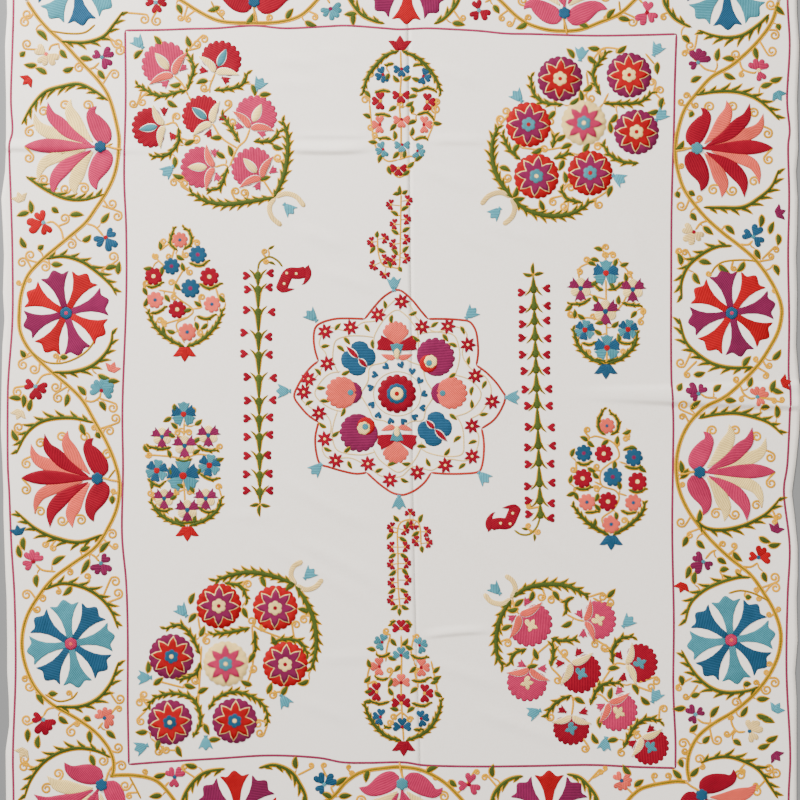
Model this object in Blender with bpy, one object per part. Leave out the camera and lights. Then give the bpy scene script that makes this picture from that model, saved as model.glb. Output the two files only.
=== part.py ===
"""Suzani embroidered cloth laid flat: two hand-woven panels joined by one centre seam.

The cloth lies on a level surface. X runs across its width, Y along its length, Z up, and the
origin is in the middle of the underside. Both panels are thin sheets that share one height
function, so the soft creases of a cloth that was folded away and spread out again run on
from one panel to the other across the seam.
"""

from collections import namedtuple

import bpy
import numpy as np

# Driving dimensions, in metres
CLOTH_LENGTH = 1.862
CLOTH_THICKNESS = 0.0016
SEAM_GAP = 0.0003
END_WAVE = 0.003
END_WAVE_LENGTH = 0.62

# Spacing of the mesh rows, and the stretches of the length where a crease needs finer rows
PLAIN_ROW_STEP = 0.016
CREASE_ROW_STEP = 0.006
COLUMNS_PER_PANEL = 20
CreaseZone = namedtuple("CreaseZone", "low high")
CREASE_ZONES = (
    CreaseZone(-0.468, -0.428),
    CreaseZone(-0.032, 0.040),
    CreaseZone(0.450, 0.505),
)

# The hand-cut outline: where both selvages and the seam lie at each height up the cloth
Station = namedtuple("Station", "y left seam right")
STATIONS = (
    Station(-0.935, -0.7530, 0.0420, 0.7500),
    Station(-0.850, -0.7500, 0.0400, 0.7535),
    Station(-0.760, -0.7490, 0.0385, 0.7520),
    Station(-0.670, -0.7500, 0.0370, 0.7520),
    Station(-0.620, -0.7430, 0.0350, 0.7520),
    Station(-0.570, -0.7440, 0.0335, 0.7520),
    Station(-0.520, -0.7470, 0.0320, 0.7490),
    Station(-0.460, -0.7470, 0.0300, 0.7540),
    Station(-0.380, -0.7480, 0.0280, 0.7520),
    Station(-0.340, -0.7500, 0.0270, 0.7540),
    Station(-0.280, -0.7520, 0.0260, 0.7540),
    Station(-0.220, -0.7540, 0.0250, 0.7480),
    Station(-0.180, -0.7540, 0.0240, 0.7430),
    Station(-0.120, -0.7560, 0.0230, 0.7510),
    Station(-0.060, -0.7590, 0.0225, 0.7570),
    Station(0.000, -0.7580, 0.0220, 0.7590),
    Station(0.050, -0.7570, 0.0215, 0.7550),
    Station(0.100, -0.7560, 0.0210, 0.7510),
    Station(0.150, -0.7520, 0.0205, 0.7520),
    Station(0.200, -0.7550, 0.0200, 0.7530),
    Station(0.270, -0.7530, 0.0190, 0.7510),
    Station(0.320, -0.7550, 0.0185, 0.7530),
    Station(0.380, -0.7580, 0.0180, 0.7540),
    Station(0.430, -0.7510, 0.0175, 0.7510),
    Station(0.475, -0.7490, 0.0170, 0.7550),
    Station(0.570, -0.7490, 0.0160, 0.7530),
    Station(0.670, -0.7510, 0.0150, 0.7570),
    Station(0.730, -0.7470, 0.0145, 0.7530),
    Station(0.830, -0.7490, 0.0140, 0.7510),
    Station(0.935, -0.7520, 0.0130, 0.7530),
)

# Each fold is a low swell along a bowed line. The upper reach is how far it spreads to the
# left of that line, the lower reach to its right, and the fades are the shares of its length
# over which it rises from the flat cloth at its two ends (none where it runs off a selvage).
Fold = namedtuple("Fold", "start end bow height upper_reach lower_reach fade_in fade_out")
FOLDS = (
    # Storage crease above the middle
    Fold((-0.770, 0.478), (-0.440, 0.470), 0.000, 0.0035, 0.020, 0.011, 0.00, 0.50),
    Fold((-0.235, 0.476), (-0.040, 0.476), -0.005, 0.0050, 0.020, 0.011, 0.30, 0.35),
    Fold((-0.215, 0.499), (-0.050, 0.498), 0.001, 0.0014, 0.012, 0.008, 0.30, 0.30),
    Fold((0.040, 0.489), (0.180, 0.486), 0.002, 0.0022, 0.020, 0.012, 0.35, 0.40),
    # Storage crease across the right border
    Fold((0.280, 0.012), (0.780, 0.026), -0.003, 0.0050, 0.014, 0.034, 0.60, 0.00),
    Fold((0.310, 0.006), (0.780, -0.014), -0.002, 0.0065, 0.030, 0.011, 0.65, 0.00),
    # Storage crease below the middle
    Fold((0.035, -0.454), (0.185, -0.442), 0.004, 0.0032, 0.016, 0.009, 0.30, 0.40),
    Fold((-0.165, -0.497), (-0.035, -0.489), 0.000, 0.0020, 0.018, 0.012, 0.40, 0.40),
    # Soft waves of the upper left field
    Fold((-0.255, 0.650), (-0.140, 0.630), 0.000, 0.0018, 0.018, 0.015, 0.40, 0.40),
    Fold((-0.255, 0.603), (-0.145, 0.590), 0.000, 0.0014, 0.018, 0.015, 0.40, 0.40),
    Fold((-0.155, 0.662), (-0.080, 0.645), 0.000, 0.0014, 0.016, 0.014, 0.40, 0.40),
    Fold((-0.210, 0.327), (-0.090, 0.280), 0.000, 0.0024, 0.020, 0.016, 0.40, 0.40),
    Fold((-0.165, 0.252), (-0.035, 0.200), 0.000, 0.0024, 0.020, 0.016, 0.40, 0.40),
    # Soft waves of the upper right field
    Fold((0.050, 0.640), (0.160, 0.588), 0.000, 0.0022, 0.020, 0.016, 0.40, 0.40),
    Fold((0.020, 0.446), (0.160, 0.390), 0.000, 0.0022, 0.020, 0.016, 0.35, 0.40),
    Fold((0.020, 0.415), (0.210, 0.268), -0.024, 0.0020, 0.022, 0.018, 0.30, 0.40),
    Fold((0.135, 0.345), (0.310, 0.290), -0.005, 0.0016, 0.020, 0.016, 0.35, 0.45),
    Fold((0.410, 0.345), (0.475, 0.255), 0.000, 0.0015, 0.022, 0.018, 0.45, 0.45),
    # Soft waves of the lower left field
    Fold((-0.255, -0.130), (-0.025, -0.255), -0.010, 0.0022, 0.022, 0.018, 0.35, 0.35),
    Fold((-0.230, -0.258), (-0.015, -0.372), 0.008, 0.0024, 0.020, 0.018, 0.35, 0.35),
    Fold((-0.285, -0.262), (-0.035, -0.412), 0.006, 0.0018, 0.020, 0.016, 0.35, 0.35),
    Fold((-0.345, -0.222), (-0.225, -0.224), 0.000, 0.0013, 0.016, 0.014, 0.40, 0.40),
    Fold((-0.210, -0.566), (-0.080, -0.620), 0.000, 0.0018, 0.020, 0.016, 0.40, 0.40),
    # Soft waves of the lower right field
    Fold((0.045, -0.495), (0.210, -0.556), 0.000, 0.0022, 0.020, 0.016, 0.35, 0.45),
    Fold((0.125, -0.585), (0.330, -0.662), 0.000, 0.0025, 0.020, 0.016, 0.35, 0.40),
    Fold((0.020, -0.175), (0.195, -0.330), 0.000, 0.0014, 0.020, 0.018, 0.35, 0.40),
    Fold((0.200, -0.215), (0.345, -0.330), 0.000, 0.0013, 0.020, 0.018, 0.40, 0.40),
)

# Colour, roughness and metallic value of the woven ground
GROUND_COLOUR = (0.72, 0.69, 0.65, 1.0)
GROUND_ROUGHNESS = 0.9


def smooth_rise(share):
    """Rise from 0 to 1 with a level start and a level end, as share goes from 0 to 1."""
    share = np.clip(share, 0.0, 1.0)
    return share * share * (3.0 - 2.0 * share)


def fold_height(fold, x, y):
    """Height of one fold above the surface: half a cosine wave across its bowed line."""
    start, end = np.array(fold.start), np.array(fold.end)
    length = np.hypot(*(end - start))
    along_x, along_y = (end - start) / length
    share = ((x - start[0]) * along_x + (y - start[1]) * along_y) / length
    across = (y - start[1]) * along_x - (x - start[0]) * along_y
    across = across - fold.bow * 4.0 * share * (1.0 - share)
    reach = np.where(across > 0.0, fold.upper_reach, fold.lower_reach)
    swell = 0.5 + 0.5 * np.cos(np.pi * np.clip(across / reach, -1.0, 1.0))
    rise = np.where((share >= 0.0) & (share <= 1.0), 1.0, 0.0)
    if fold.fade_in:
        rise = rise * smooth_rise(share / fold.fade_in)
    if fold.fade_out:
        rise = rise * smooth_rise((1.0 - share) / fold.fade_out)
    return fold.height * swell * rise


def cloth_height(x, y):
    """Height of the cloth's underside above the surface, all folds added up."""
    return sum(fold_height(fold, x, y) for fold in FOLDS)


def outline_at(y, column):
    """Place across the cloth of a selvage or the seam at height y, between the stations."""
    return np.interp(y, [s.y for s in STATIONS], [getattr(s, column) for s in STATIONS])


def row_places():
    """Heights of the mesh rows: even steps, finer where a storage crease crosses the cloth."""
    places = [-CLOTH_LENGTH / 2]
    while places[-1] < CLOTH_LENGTH / 2 - PLAIN_ROW_STEP:
        y = places[-1]
        in_crease = any(zone.low - PLAIN_ROW_STEP <= y <= zone.high for zone in CREASE_ZONES)
        places.append(y + (CREASE_ROW_STEP if in_crease else PLAIN_ROW_STEP))
    places.append(CLOTH_LENGTH / 2)
    return np.array(places)


def panel_grid(left_column, right_column, left_gap, right_gap):
    """Points of a panel's plan view: rows up the cloth, columns between its two long edges."""
    rows = row_places()[:, None]
    share = np.linspace(0.0, 1.0, COLUMNS_PER_PANEL + 1)[None, :]
    left = outline_at(rows, left_column) + left_gap
    right = outline_at(rows, right_column) - right_gap
    x = left + (right - left) * share
    end_share = (rows / (CLOTH_LENGTH / 2)) ** 8
    y = rows + END_WAVE * end_share * (np.cos(2 * np.pi * x / END_WAVE_LENGTH) - 1.0) * np.sign(rows)
    return x, y


def sheet_faces(row_count, column_count):
    """Faces of a closed thin sheet: lower grid, upper grid, and the walls between their rims."""
    index = np.arange(row_count * column_count).reshape(row_count, column_count)
    corners = (index[:-1, :-1], index[:-1, 1:], index[1:, 1:], index[1:, :-1])
    under = np.stack(corners[::-1], axis=-1).reshape(-1, 4)
    over = np.stack([corner + index.size for corner in corners], axis=-1).reshape(-1, 4)
    rim = np.concatenate([index[0, :-1], index[:-1, -1], index[-1, :0:-1], index[:0:-1, 0]])
    top_rim = rim + index.size
    walls = np.stack([rim, np.roll(rim, -1), np.roll(top_rim, -1), top_rim], axis=-1)
    return np.concatenate([under, over, walls]).tolist()


def ground_material(name):
    """Off-white hand-woven cotton."""
    material = bpy.data.materials.new(name)
    material.use_nodes = True
    shader = material.node_tree.nodes["Principled BSDF"]
    shader.inputs["Base Color"].default_value = GROUND_COLOUR
    shader.inputs["Roughness"].default_value = GROUND_ROUGHNESS
    shader.inputs["Metallic"].default_value = 0.0
    return material


def make_panel(name, x, y):
    """One woven panel as a closed sheet of even thickness over the folds."""
    under = cloth_height(x, y)
    low = np.stack([x, y, under], axis=-1).reshape(-1, 3)
    high = np.stack([x, y, under + CLOTH_THICKNESS], axis=-1).reshape(-1, 3)
    mesh = bpy.data.meshes.new(name)
    mesh.from_pydata(np.concatenate([low, high]).tolist(), [], sheet_faces(*x.shape))
    mesh.materials.append(ground_material(name + "_cloth"))
    panel = bpy.data.objects.new(name, mesh)
    bpy.context.scene.collection.objects.link(panel)
    return panel


def main():
    for old in list(bpy.data.objects):
        bpy.data.objects.remove(old)
    make_panel("panel_left", *panel_grid("left", "seam", 0.0, SEAM_GAP / 2))
    make_panel("panel_right", *panel_grid("seam", "right", SEAM_GAP / 2, 0.0))


main()
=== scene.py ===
import math
from collections import namedtuple

import bpy
import numpy as np
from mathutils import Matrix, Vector


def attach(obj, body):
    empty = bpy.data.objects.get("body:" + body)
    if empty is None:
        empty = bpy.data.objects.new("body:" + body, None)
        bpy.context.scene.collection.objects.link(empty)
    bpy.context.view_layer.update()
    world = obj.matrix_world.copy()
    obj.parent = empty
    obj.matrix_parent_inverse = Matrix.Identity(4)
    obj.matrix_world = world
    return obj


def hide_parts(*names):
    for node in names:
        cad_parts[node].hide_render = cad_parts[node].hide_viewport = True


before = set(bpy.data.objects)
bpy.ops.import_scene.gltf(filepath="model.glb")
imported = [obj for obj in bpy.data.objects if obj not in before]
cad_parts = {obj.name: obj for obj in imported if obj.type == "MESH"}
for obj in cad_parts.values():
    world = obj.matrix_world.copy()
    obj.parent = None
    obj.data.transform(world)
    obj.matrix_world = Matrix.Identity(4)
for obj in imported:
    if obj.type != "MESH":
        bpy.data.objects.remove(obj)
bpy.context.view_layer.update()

# Sizes of the cloth, in metres, as the solids have them
CLOTH_LENGTH = 1.862
CLOTH_THICKNESS = 0.0016
SEAM_GAP = 0.0003
END_WAVE = 0.003
END_WAVE_LENGTH = 0.62

# Each panel's fine mesh: rows close together where a steep crease runs, wider elsewhere
CREASE_ZONES = ((-0.468, -0.428), (-0.032, 0.040), (0.450, 0.505))
CREASE_STEP = 0.002
ROW_STEP = 0.009
PANEL_COLUMNS = 95

# Stations up the cloth: height, then the place of the left edge, the seam and the right edge
LEFT, SEAM, RIGHT = 1, 2, 3
STATIONS = np.array((
    (-0.935, -0.753, 0.042, 0.75), (-0.85, -0.75, 0.04, 0.7535), (-0.76, -0.749, 0.0385, 0.752),
    (-0.67, -0.75, 0.037, 0.752), (-0.62, -0.743, 0.035, 0.752), (-0.57, -0.744, 0.0335, 0.752),
    (-0.52, -0.747, 0.032, 0.749), (-0.46, -0.747, 0.03, 0.754), (-0.38, -0.748, 0.028, 0.752),
    (-0.34, -0.75, 0.027, 0.754), (-0.28, -0.752, 0.026, 0.754), (-0.22, -0.754, 0.025, 0.748),
    (-0.18, -0.754, 0.024, 0.743), (-0.12, -0.756, 0.023, 0.751), (-0.06, -0.759, 0.0225, 0.757),
    (0, -0.758, 0.022, 0.759), (0.05, -0.757, 0.0215, 0.755), (0.1, -0.756, 0.021, 0.751),
    (0.15, -0.752, 0.0205, 0.752), (0.2, -0.755, 0.02, 0.753), (0.27, -0.753, 0.019, 0.751),
    (0.32, -0.755, 0.0185, 0.753), (0.38, -0.758, 0.018, 0.754), (0.43, -0.751, 0.0175, 0.751),
    (0.475, -0.749, 0.017, 0.755), (0.57, -0.749, 0.016, 0.753), (0.67, -0.751, 0.015, 0.757),
    (0.73, -0.747, 0.0145, 0.753), (0.83, -0.749, 0.014, 0.751), (0.935, -0.752, 0.013, 0.753),
))

# Soft creases: the upper and lower reach are how far a swell spreads to either side of its line
Fold = namedtuple("Fold", "start end height upper_reach lower_reach fade_in fade_out bow",
                  defaults=(0.020, 0.016, 0.4, 0.4, 0.0))
FOLDS = tuple(Fold(*row) for row in (
    ((-0.77, 0.478), (-0.44, 0.47), 0.0035, 0.02, 0.011, 0, 0.5),
    ((-0.235, 0.476), (-0.04, 0.476), 0.005, 0.02, 0.011, 0.3, 0.35, -0.005),
    ((-0.215, 0.499), (-0.05, 0.498), 0.0014, 0.012, 0.008, 0.3, 0.3, 0.001),
    ((0.04, 0.489), (0.18, 0.486), 0.0022, 0.02, 0.012, 0.35, 0.4, 0.002),
    ((0.28, 0.012), (0.78, 0.026), 0.005, 0.014, 0.034, 0.6, 0, -0.003),
    ((0.31, 0.006), (0.78, -0.014), 0.0065, 0.03, 0.011, 0.65, 0, -0.002),
    ((0.035, -0.454), (0.185, -0.442), 0.0032, 0.016, 0.009, 0.3, 0.4, 0.004),
    ((-0.165, -0.497), (-0.035, -0.489), 0.002, 0.018, 0.012),
    ((-0.255, 0.65), (-0.14, 0.63), 0.0018, 0.018, 0.015),
    ((-0.255, 0.603), (-0.145, 0.59), 0.0014, 0.018, 0.015),
    ((-0.155, 0.662), (-0.08, 0.645), 0.0014, 0.016, 0.014), ((-0.21, 0.327), (-0.09, 0.28), 0.0024),
    ((-0.165, 0.252), (-0.035, 0.2), 0.0024), ((0.05, 0.64), (0.16, 0.588), 0.0022),
    ((0.02, 0.446), (0.16, 0.39), 0.0022, 0.02, 0.016, 0.35),
    ((0.02, 0.415), (0.21, 0.268), 0.002, 0.022, 0.018, 0.3, 0.4, -0.024),
    ((0.135, 0.345), (0.31, 0.29), 0.0016, 0.02, 0.016, 0.35, 0.45, -0.005),
    ((0.41, 0.345), (0.475, 0.255), 0.0015, 0.022, 0.018, 0.45, 0.45),
    ((-0.255, -0.13), (-0.025, -0.255), 0.0022, 0.022, 0.018, 0.35, 0.35, -0.01),
    ((-0.23, -0.258), (-0.015, -0.372), 0.0024, 0.02, 0.018, 0.35, 0.35, 0.008),
    ((-0.285, -0.262), (-0.035, -0.412), 0.0018, 0.02, 0.016, 0.35, 0.35, 0.006),
    ((-0.345, -0.222), (-0.225, -0.224), 0.0013, 0.016, 0.014), ((-0.21, -0.566), (-0.08, -0.62), 0.0018),
    ((0.045, -0.495), (0.21, -0.556), 0.0022, 0.02, 0.016, 0.35, 0.45),
    ((0.125, -0.585), (0.33, -0.662), 0.0025, 0.02, 0.016, 0.35),
    ((0.02, -0.175), (0.195, -0.33), 0.0014, 0.02, 0.018, 0.35),
    ((0.2, -0.215), (0.345, -0.33), 0.0013, 0.02, 0.018),
))


def smooth_rise(share):
    """Rise from 0 to 1 with a level start and a level end, as share goes from 0 to 1."""
    share = np.clip(share, 0.0, 1.0)
    return share * share * (3.0 - 2.0 * share)


def fold_height(fold, x, y):
    """Height of one fold above the surface: half a cosine wave across its bowed line."""
    start, end = np.array(fold.start), np.array(fold.end)
    length = np.hypot(*(end - start))
    along_x, along_y = (end - start) / length
    share = ((x - start[0]) * along_x + (y - start[1]) * along_y) / length
    across = (y - start[1]) * along_x - (x - start[0]) * along_y
    across = across - fold.bow * 4.0 * share * (1.0 - share)
    reach = np.where(across > 0.0, fold.upper_reach, fold.lower_reach)
    swell = 0.5 + 0.5 * np.cos(np.pi * np.clip(across / reach, -1.0, 1.0))
    rise = np.where((share >= 0.0) & (share <= 1.0), 1.0, 0.0)
    if fold.fade_in:
        rise = rise * smooth_rise(share / fold.fade_in)
    if fold.fade_out:
        rise = rise * smooth_rise((1.0 - share) / fold.fade_out)
    return fold.height * swell * rise


def cloth_height(x, y):
    """Height of the cloth's underside above the surface, all folds added up."""
    return sum(fold_height(fold, x, y) for fold in FOLDS)


def outline_at(y, column):
    """Place across the cloth of a selvage or the seam at height y, between the stations."""
    return np.interp(y, STATIONS[:, 0], STATIONS[:, column])


def add_object(name, data):
    """Puts an object at the origin of the scene."""
    added = bpy.data.objects.new(name, data)
    bpy.context.scene.collection.objects.link(added)
    return added


def new_object(name, mesh, material):
    """Puts a mesh into the scene as a piece with one material."""
    mesh.materials.append(material)
    return add_object(name, mesh)


def new_material(name, values):
    """A material, its nodes, and its shader with the given values on its own sockets."""
    material = bpy.data.materials.new(name)
    material.use_nodes = True
    shader = material.node_tree.nodes["Principled BSDF"]
    for socket, value in values.items():
        shader.inputs[socket].default_value = value
    return material, material.node_tree, shader


def noise(tree, scale, detail, stretch=None):
    """A noise over the piece's own coordinates, drawn out along its axes where that is asked."""
    place = tree.nodes.new("ShaderNodeTexCoord").outputs["Object"]
    if stretch:
        mapping = tree.nodes.new("ShaderNodeMapping")
        mapping.inputs["Scale"].default_value = stretch
        tree.links.new(place, mapping.inputs["Vector"])
        place = mapping.outputs["Vector"]
    texture = tree.nodes.new("ShaderNodeTexNoise")
    texture.inputs["Scale"].default_value = scale
    texture.inputs["Detail"].default_value = detail
    tree.links.new(place, texture.inputs["Vector"])
    return texture.outputs["Fac"]


def math_node(tree, operation, *values):
    """One sum over numbers and over what other nodes put out."""
    node = tree.nodes.new("ShaderNodeMath")
    node.operation = operation
    for socket, value in zip(node.inputs, values):
        if isinstance(value, (int, float)):
            socket.default_value = value
        else:
            tree.links.new(value, socket)
    return node.outputs[0]


def blend(tree, share, low, high, first, second):
    """Goes from the first colour to the second as a share rises from a low to a high value."""
    ramp = tree.nodes.new("ShaderNodeMapRange")
    ramp.inputs["From Min"].default_value = low
    ramp.inputs["From Max"].default_value = high
    tree.links.new(share, ramp.inputs["Value"])
    mix = tree.nodes.new("ShaderNodeMix")
    mix.data_type = "RGBA"
    tree.links.new(ramp.outputs["Result"], mix.inputs["Factor"])
    for socket, colour in ((mix.inputs["A"], first), (mix.inputs["B"], second)):
        if isinstance(colour, tuple):
            socket.default_value = colour
        else:
            tree.links.new(colour, socket)
    return mix.outputs["Result"]


def add_relief(tree, shader, height, strength, distance):
    """Bumps on a shader, from a height that changes over the surface."""
    bump = tree.nodes.new("ShaderNodeBump")
    bump.inputs["Strength"].default_value = strength
    bump.inputs["Distance"].default_value = distance
    tree.links.new(height, bump.inputs["Height"])
    tree.links.new(bump.outputs["Normal"], shader.inputs["Normal"])


def ground_material(name):
    """Off-white hand-woven cotton: two noises drawn out along the warp and the weft give the
    weave and its slubs, and slow noises give faint cool, warm and stained areas."""
    material, tree, shader = new_material(name, {"Roughness": 0.88, "Sheen Weight": 0.1})
    warp = noise(tree, 1300.0, 2.0, (1.0, 0.06, 1.0))
    weft = noise(tree, 1300.0, 2.0, (0.06, 1.0, 1.0))
    weave = math_node(tree, "ADD", warp, weft)
    tone = blend(tree, noise(tree, 2.2, 3.0), 0.35, 0.65,
                 (0.905, 0.822, 0.728, 1.0), (0.875, 0.785, 0.672, 1.0))
    stained = blend(tree, noise(tree, 7.0, 5.0), 0.62, 0.85, tone, (0.760, 0.660, 0.530, 1.0))
    woven = blend(tree, weave, 0.75, 1.15, stained, (0.930, 0.855, 0.772, 1.0))
    tree.links.new(woven, shader.inputs["Base Color"])
    add_relief(tree, shader, weave, 0.35, 0.0004)
    return material


def row_places():
    """Places of a panel's rows up its length, evenly spaced between the ends of each zone."""
    marks = [-CLOTH_LENGTH / 2, *(y for zone in CREASE_ZONES for y in zone), CLOTH_LENGTH / 2]
    runs = []
    for number, (start, end) in enumerate(zip(marks, marks[1:])):
        step = CREASE_STEP if number % 2 else ROW_STEP
        runs.append(np.linspace(start, end, round((end - start) / step), endpoint=False))
    return np.append(np.concatenate(runs), marks[-1])


def panel_mesh(name, left_column, right_column, left_gap, right_gap):
    """A closed thin sheet: a point's share of the width and length gives its place between the
    panel's two long edges, and the folds' summed height lifts it; the upper grid is the lower
    one raised by the thickness, and walls join the two rims."""
    rows = row_places()[:, None]
    share = np.linspace(0.0, 1.0, PANEL_COLUMNS + 1)[None, :]
    left = outline_at(rows, left_column) + left_gap
    right = outline_at(rows, right_column) - right_gap
    x = left + (right - left) * share
    end_share = (rows / (CLOTH_LENGTH / 2)) ** 8
    y = rows + END_WAVE * end_share * (np.cos(2 * np.pi * x / END_WAVE_LENGTH) - 1.0) * np.sign(rows)
    under = cloth_height(x, y)
    points = np.concatenate([np.stack([x, y, under + lift], axis=-1).reshape(-1, 3)
                             for lift in (0.0, CLOTH_THICKNESS)])
    index = np.arange(x.size).reshape(x.shape)
    corners = (index[:-1, :-1], index[:-1, 1:], index[1:, 1:], index[1:, :-1])
    below = np.stack(corners[::-1], axis=-1).reshape(-1, 4)
    above = np.stack(corners, axis=-1).reshape(-1, 4) + index.size
    rim = np.concatenate([index[0, :-1], index[:-1, -1], index[-1, :0:-1], index[:0:-1, 0]])
    after = np.roll(rim, -1)
    walls = np.stack([rim, after, after + index.size, rim + index.size], axis=-1)
    mesh = bpy.data.meshes.new(name)
    mesh.from_pydata(points, [], np.concatenate([below, above, walls]))
    mesh.shade_smooth()
    return mesh


def make_panel(name, node, *edges):
    """One woven panel in place of its plain solid."""
    piece = new_object(name, panel_mesh(name, *edges), ground_material(name + "_cotton"))
    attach(piece, "root")
    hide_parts(node)
    return piece


def rows_group():
    """Node group for rows of stitches: a sine across slanted rows, shaken by noise, gives the rows' height,
    and the same sine darkens the thread in the grooves between rows as painted shade and lightens it on their
    crests as painted highlight."""
    group = bpy.data.node_groups.new("stitch_rows", "ShaderNodeTree")
    for name, kind, way in (("Thread", "Color", "INPUT"), ("Row Width", "Float", "INPUT"),
                            ("Slant", "Float", "INPUT"), ("Contrast", "Float", "INPUT"),
                            ("Colour", "Color", "OUTPUT"), ("Height", "Float", "OUTPUT")):
        group.interface.new_socket(name, in_out=way, socket_type="NodeSocket" + kind)
    given = group.nodes.new("NodeGroupInput").outputs
    out = group.nodes.new("NodeGroupOutput").inputs
    rows = group.nodes.new("ShaderNodeUVMap")
    rows.uv_map = "rows"
    parts = group.nodes.new("ShaderNodeSeparateXYZ")
    group.links.new(rows.outputs["UV"], parts.inputs["Vector"])
    fuzz = noise(group, 260.0, 2.0)
    wear = noise(group, 38.0, 3.0)
    slanted = math_node(group, "MULTIPLY_ADD", parts.outputs["Y"], given["Slant"], parts.outputs["X"])
    shaken = math_node(group, "MULTIPLY_ADD", fuzz, 0.10, slanted)
    turns = math_node(group, "MULTIPLY", math_node(group, "DIVIDE", shaken, given["Row Width"]), math.tau)
    wave = math_node(group, "MULTIPLY_ADD", math_node(group, "SINE", turns), 0.5, 0.5)
    # Painted shade and highlight: the rows' own height wave darkens the grooves and lightens the crests
    row_shade = math_node(group, "MULTIPLY", math_node(group, "SUBTRACT", wave, 0.5), given["Contrast"])
    # Slow noise of uneven wear, added to the painted shade of the rows
    wear_and_row_shade = math_node(group, "MULTIPLY_ADD", math_node(group, "SUBTRACT", wear, 0.5), 0.5, row_shade)
    fuzzed = math_node(group, "MULTIPLY_ADD", math_node(group, "SUBTRACT", fuzz, 0.5), 0.3, wear_and_row_shade)
    shade = group.nodes.new("ShaderNodeHueSaturation")
    group.links.new(math_node(group, "ADD", fuzzed, 1.0), shade.inputs["Value"])
    group.links.new(given["Thread"], shade.inputs["Color"])
    group.links.new(shade.outputs["Color"], out["Colour"])
    group.links.new(math_node(group, "MULTIPLY_ADD", fuzz, 0.5, wave), out["Height"])
    return group


STITCH_ROWS = rows_group()


def silk_material(name, row_width, slant, contrast):
    """Silk thread in rows: its dye comes from the piece's own thread colours, with painted shade in the
    grooves between rows and painted highlight on their crests, as strong as the contrast says.
    """
    material, tree, shader = new_material(name, {"Roughness": 0.62, "Specular IOR Level": 0.08})
    thread = tree.nodes.new("ShaderNodeAttribute")
    thread.attribute_name = "thread"
    rows = tree.nodes.new("ShaderNodeGroup")
    rows.node_tree = STITCH_ROWS
    rows.inputs["Row Width"].default_value = row_width
    rows.inputs["Slant"].default_value = slant
    rows.inputs["Contrast"].default_value = contrast
    tree.links.new(thread.outputs["Color"], rows.inputs["Thread"])
    tree.links.new(rows.outputs["Colour"], shader.inputs["Base Color"])
    add_relief(tree, shader, rows.outputs["Height"], 0.6, 0.0005)
    return material


# The last number is the strength of the painted shade and highlight across the rows
SILKS = {"couched": silk_material("couched_silk", 0.43, 1.0, 0.85),
         "chain": silk_material("chain_silk", 0.30, 0.35, 0.45)}

# Height of the stitched areas above the cloth, and how far their rims sink into it, in metres
PETAL_HEIGHT = 0.0012
LINE_HEIGHT = 0.0009
LAYER_STEP = 0.0005
RIM_DEPTH = 0.0004
CM = 0.01

# Half widths of lines, the gold lines' place in the vine and a field rosette's size, in centimetres
TENDRIL = 0.25
GUARD_LINE = 0.25
VINE_EDGE = 0.19
VINE_HEART = 0.17
VINE_OFFSET = 0.26
STAR_RADIUS = 4.2

# Whip stitches of the seam: from one to the next, and how far each reaches past its middle
SEAM_PITCH = 0.9
SEAM_REACH = 0.16
SEAM_HALF_WIDTH = 0.035
SEAM_HEIGHT = 0.0004
SEAM_END = 92.4

# Dyed silks and cotton, as linear red, green and blue
THREADS = {
    "crimson": (0.208, 0.0015, 0.011),
    "scarlet": (0.305, 0.002, 0.005),
    "brick": (0.32, 0.022, 0.014),
    "rose": (0.365, 0.018, 0.064),
    "salmon": (0.59, 0.076, 0.05),
    "plum": (0.145, 0.008, 0.045),
    "indigo": (0.012, 0.058, 0.112),
    "teal": (0.042, 0.175, 0.212),
    "sky": (0.062, 0.235, 0.285),
    "cream": (0.8, 0.56, 0.19),
    "beige": (0.7, 0.47, 0.16),
    "gold": (0.62, 0.285, 0.006),
    "olive": (0.19, 0.128, 0.007),
    "green": (0.046, 0.068, 0.01),
    "guard": (0.235, 0.022, 0.06),
    "white": (0.8, 0.76, 0.66),
}

rng = np.random.default_rng(7)


def dye(name):
    """Linear colour of a thread, a little lighter or darker each time as hand dyeing gives."""
    return np.append(np.array(THREADS[name]) * rng.uniform(0.88, 1.12), 1.0)


def even(share):
    """Width along a line: the same all the way."""
    return np.ones_like(share)


def leaf_shape(share):
    """Width along a leaf: a sine hump that is fullest a little before its middle."""
    return np.sin(np.pi * share ** 0.8) ** 0.8


def lance_shape(share):
    """Width along a petal: thin at the root, fullest past its middle, then a point."""
    return np.sin(np.pi * share ** 1.6) ** 0.75 + 0.12 * (1.0 - share)


def hook_shape(share):
    """Width along a bent petal: fullest a little past its middle, then a long thin point."""
    return np.sin(np.pi * share ** 1.2) ** 1.05 + 0.14 * (1.0 - share)


def full_shape(share):
    """Width along a broad petal: fullest before its middle, then a drawn-out point."""
    return np.sin(np.pi * share ** 0.62) ** 0.8


def taper_shape(share):
    """Width along a barb: widest at the root, running out to a point."""
    return (1.0 - share) ** 0.5


def pairs(numbers):
    """Places from a run of numbers: across, up, across, up and so on."""
    return np.asarray(numbers, float).reshape(-1, 2)


def rows_of(places):
    """Rows of places, from such rows or from one run of numbers."""
    return pairs(places) if isinstance(places[0], (int, float)) else places


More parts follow.
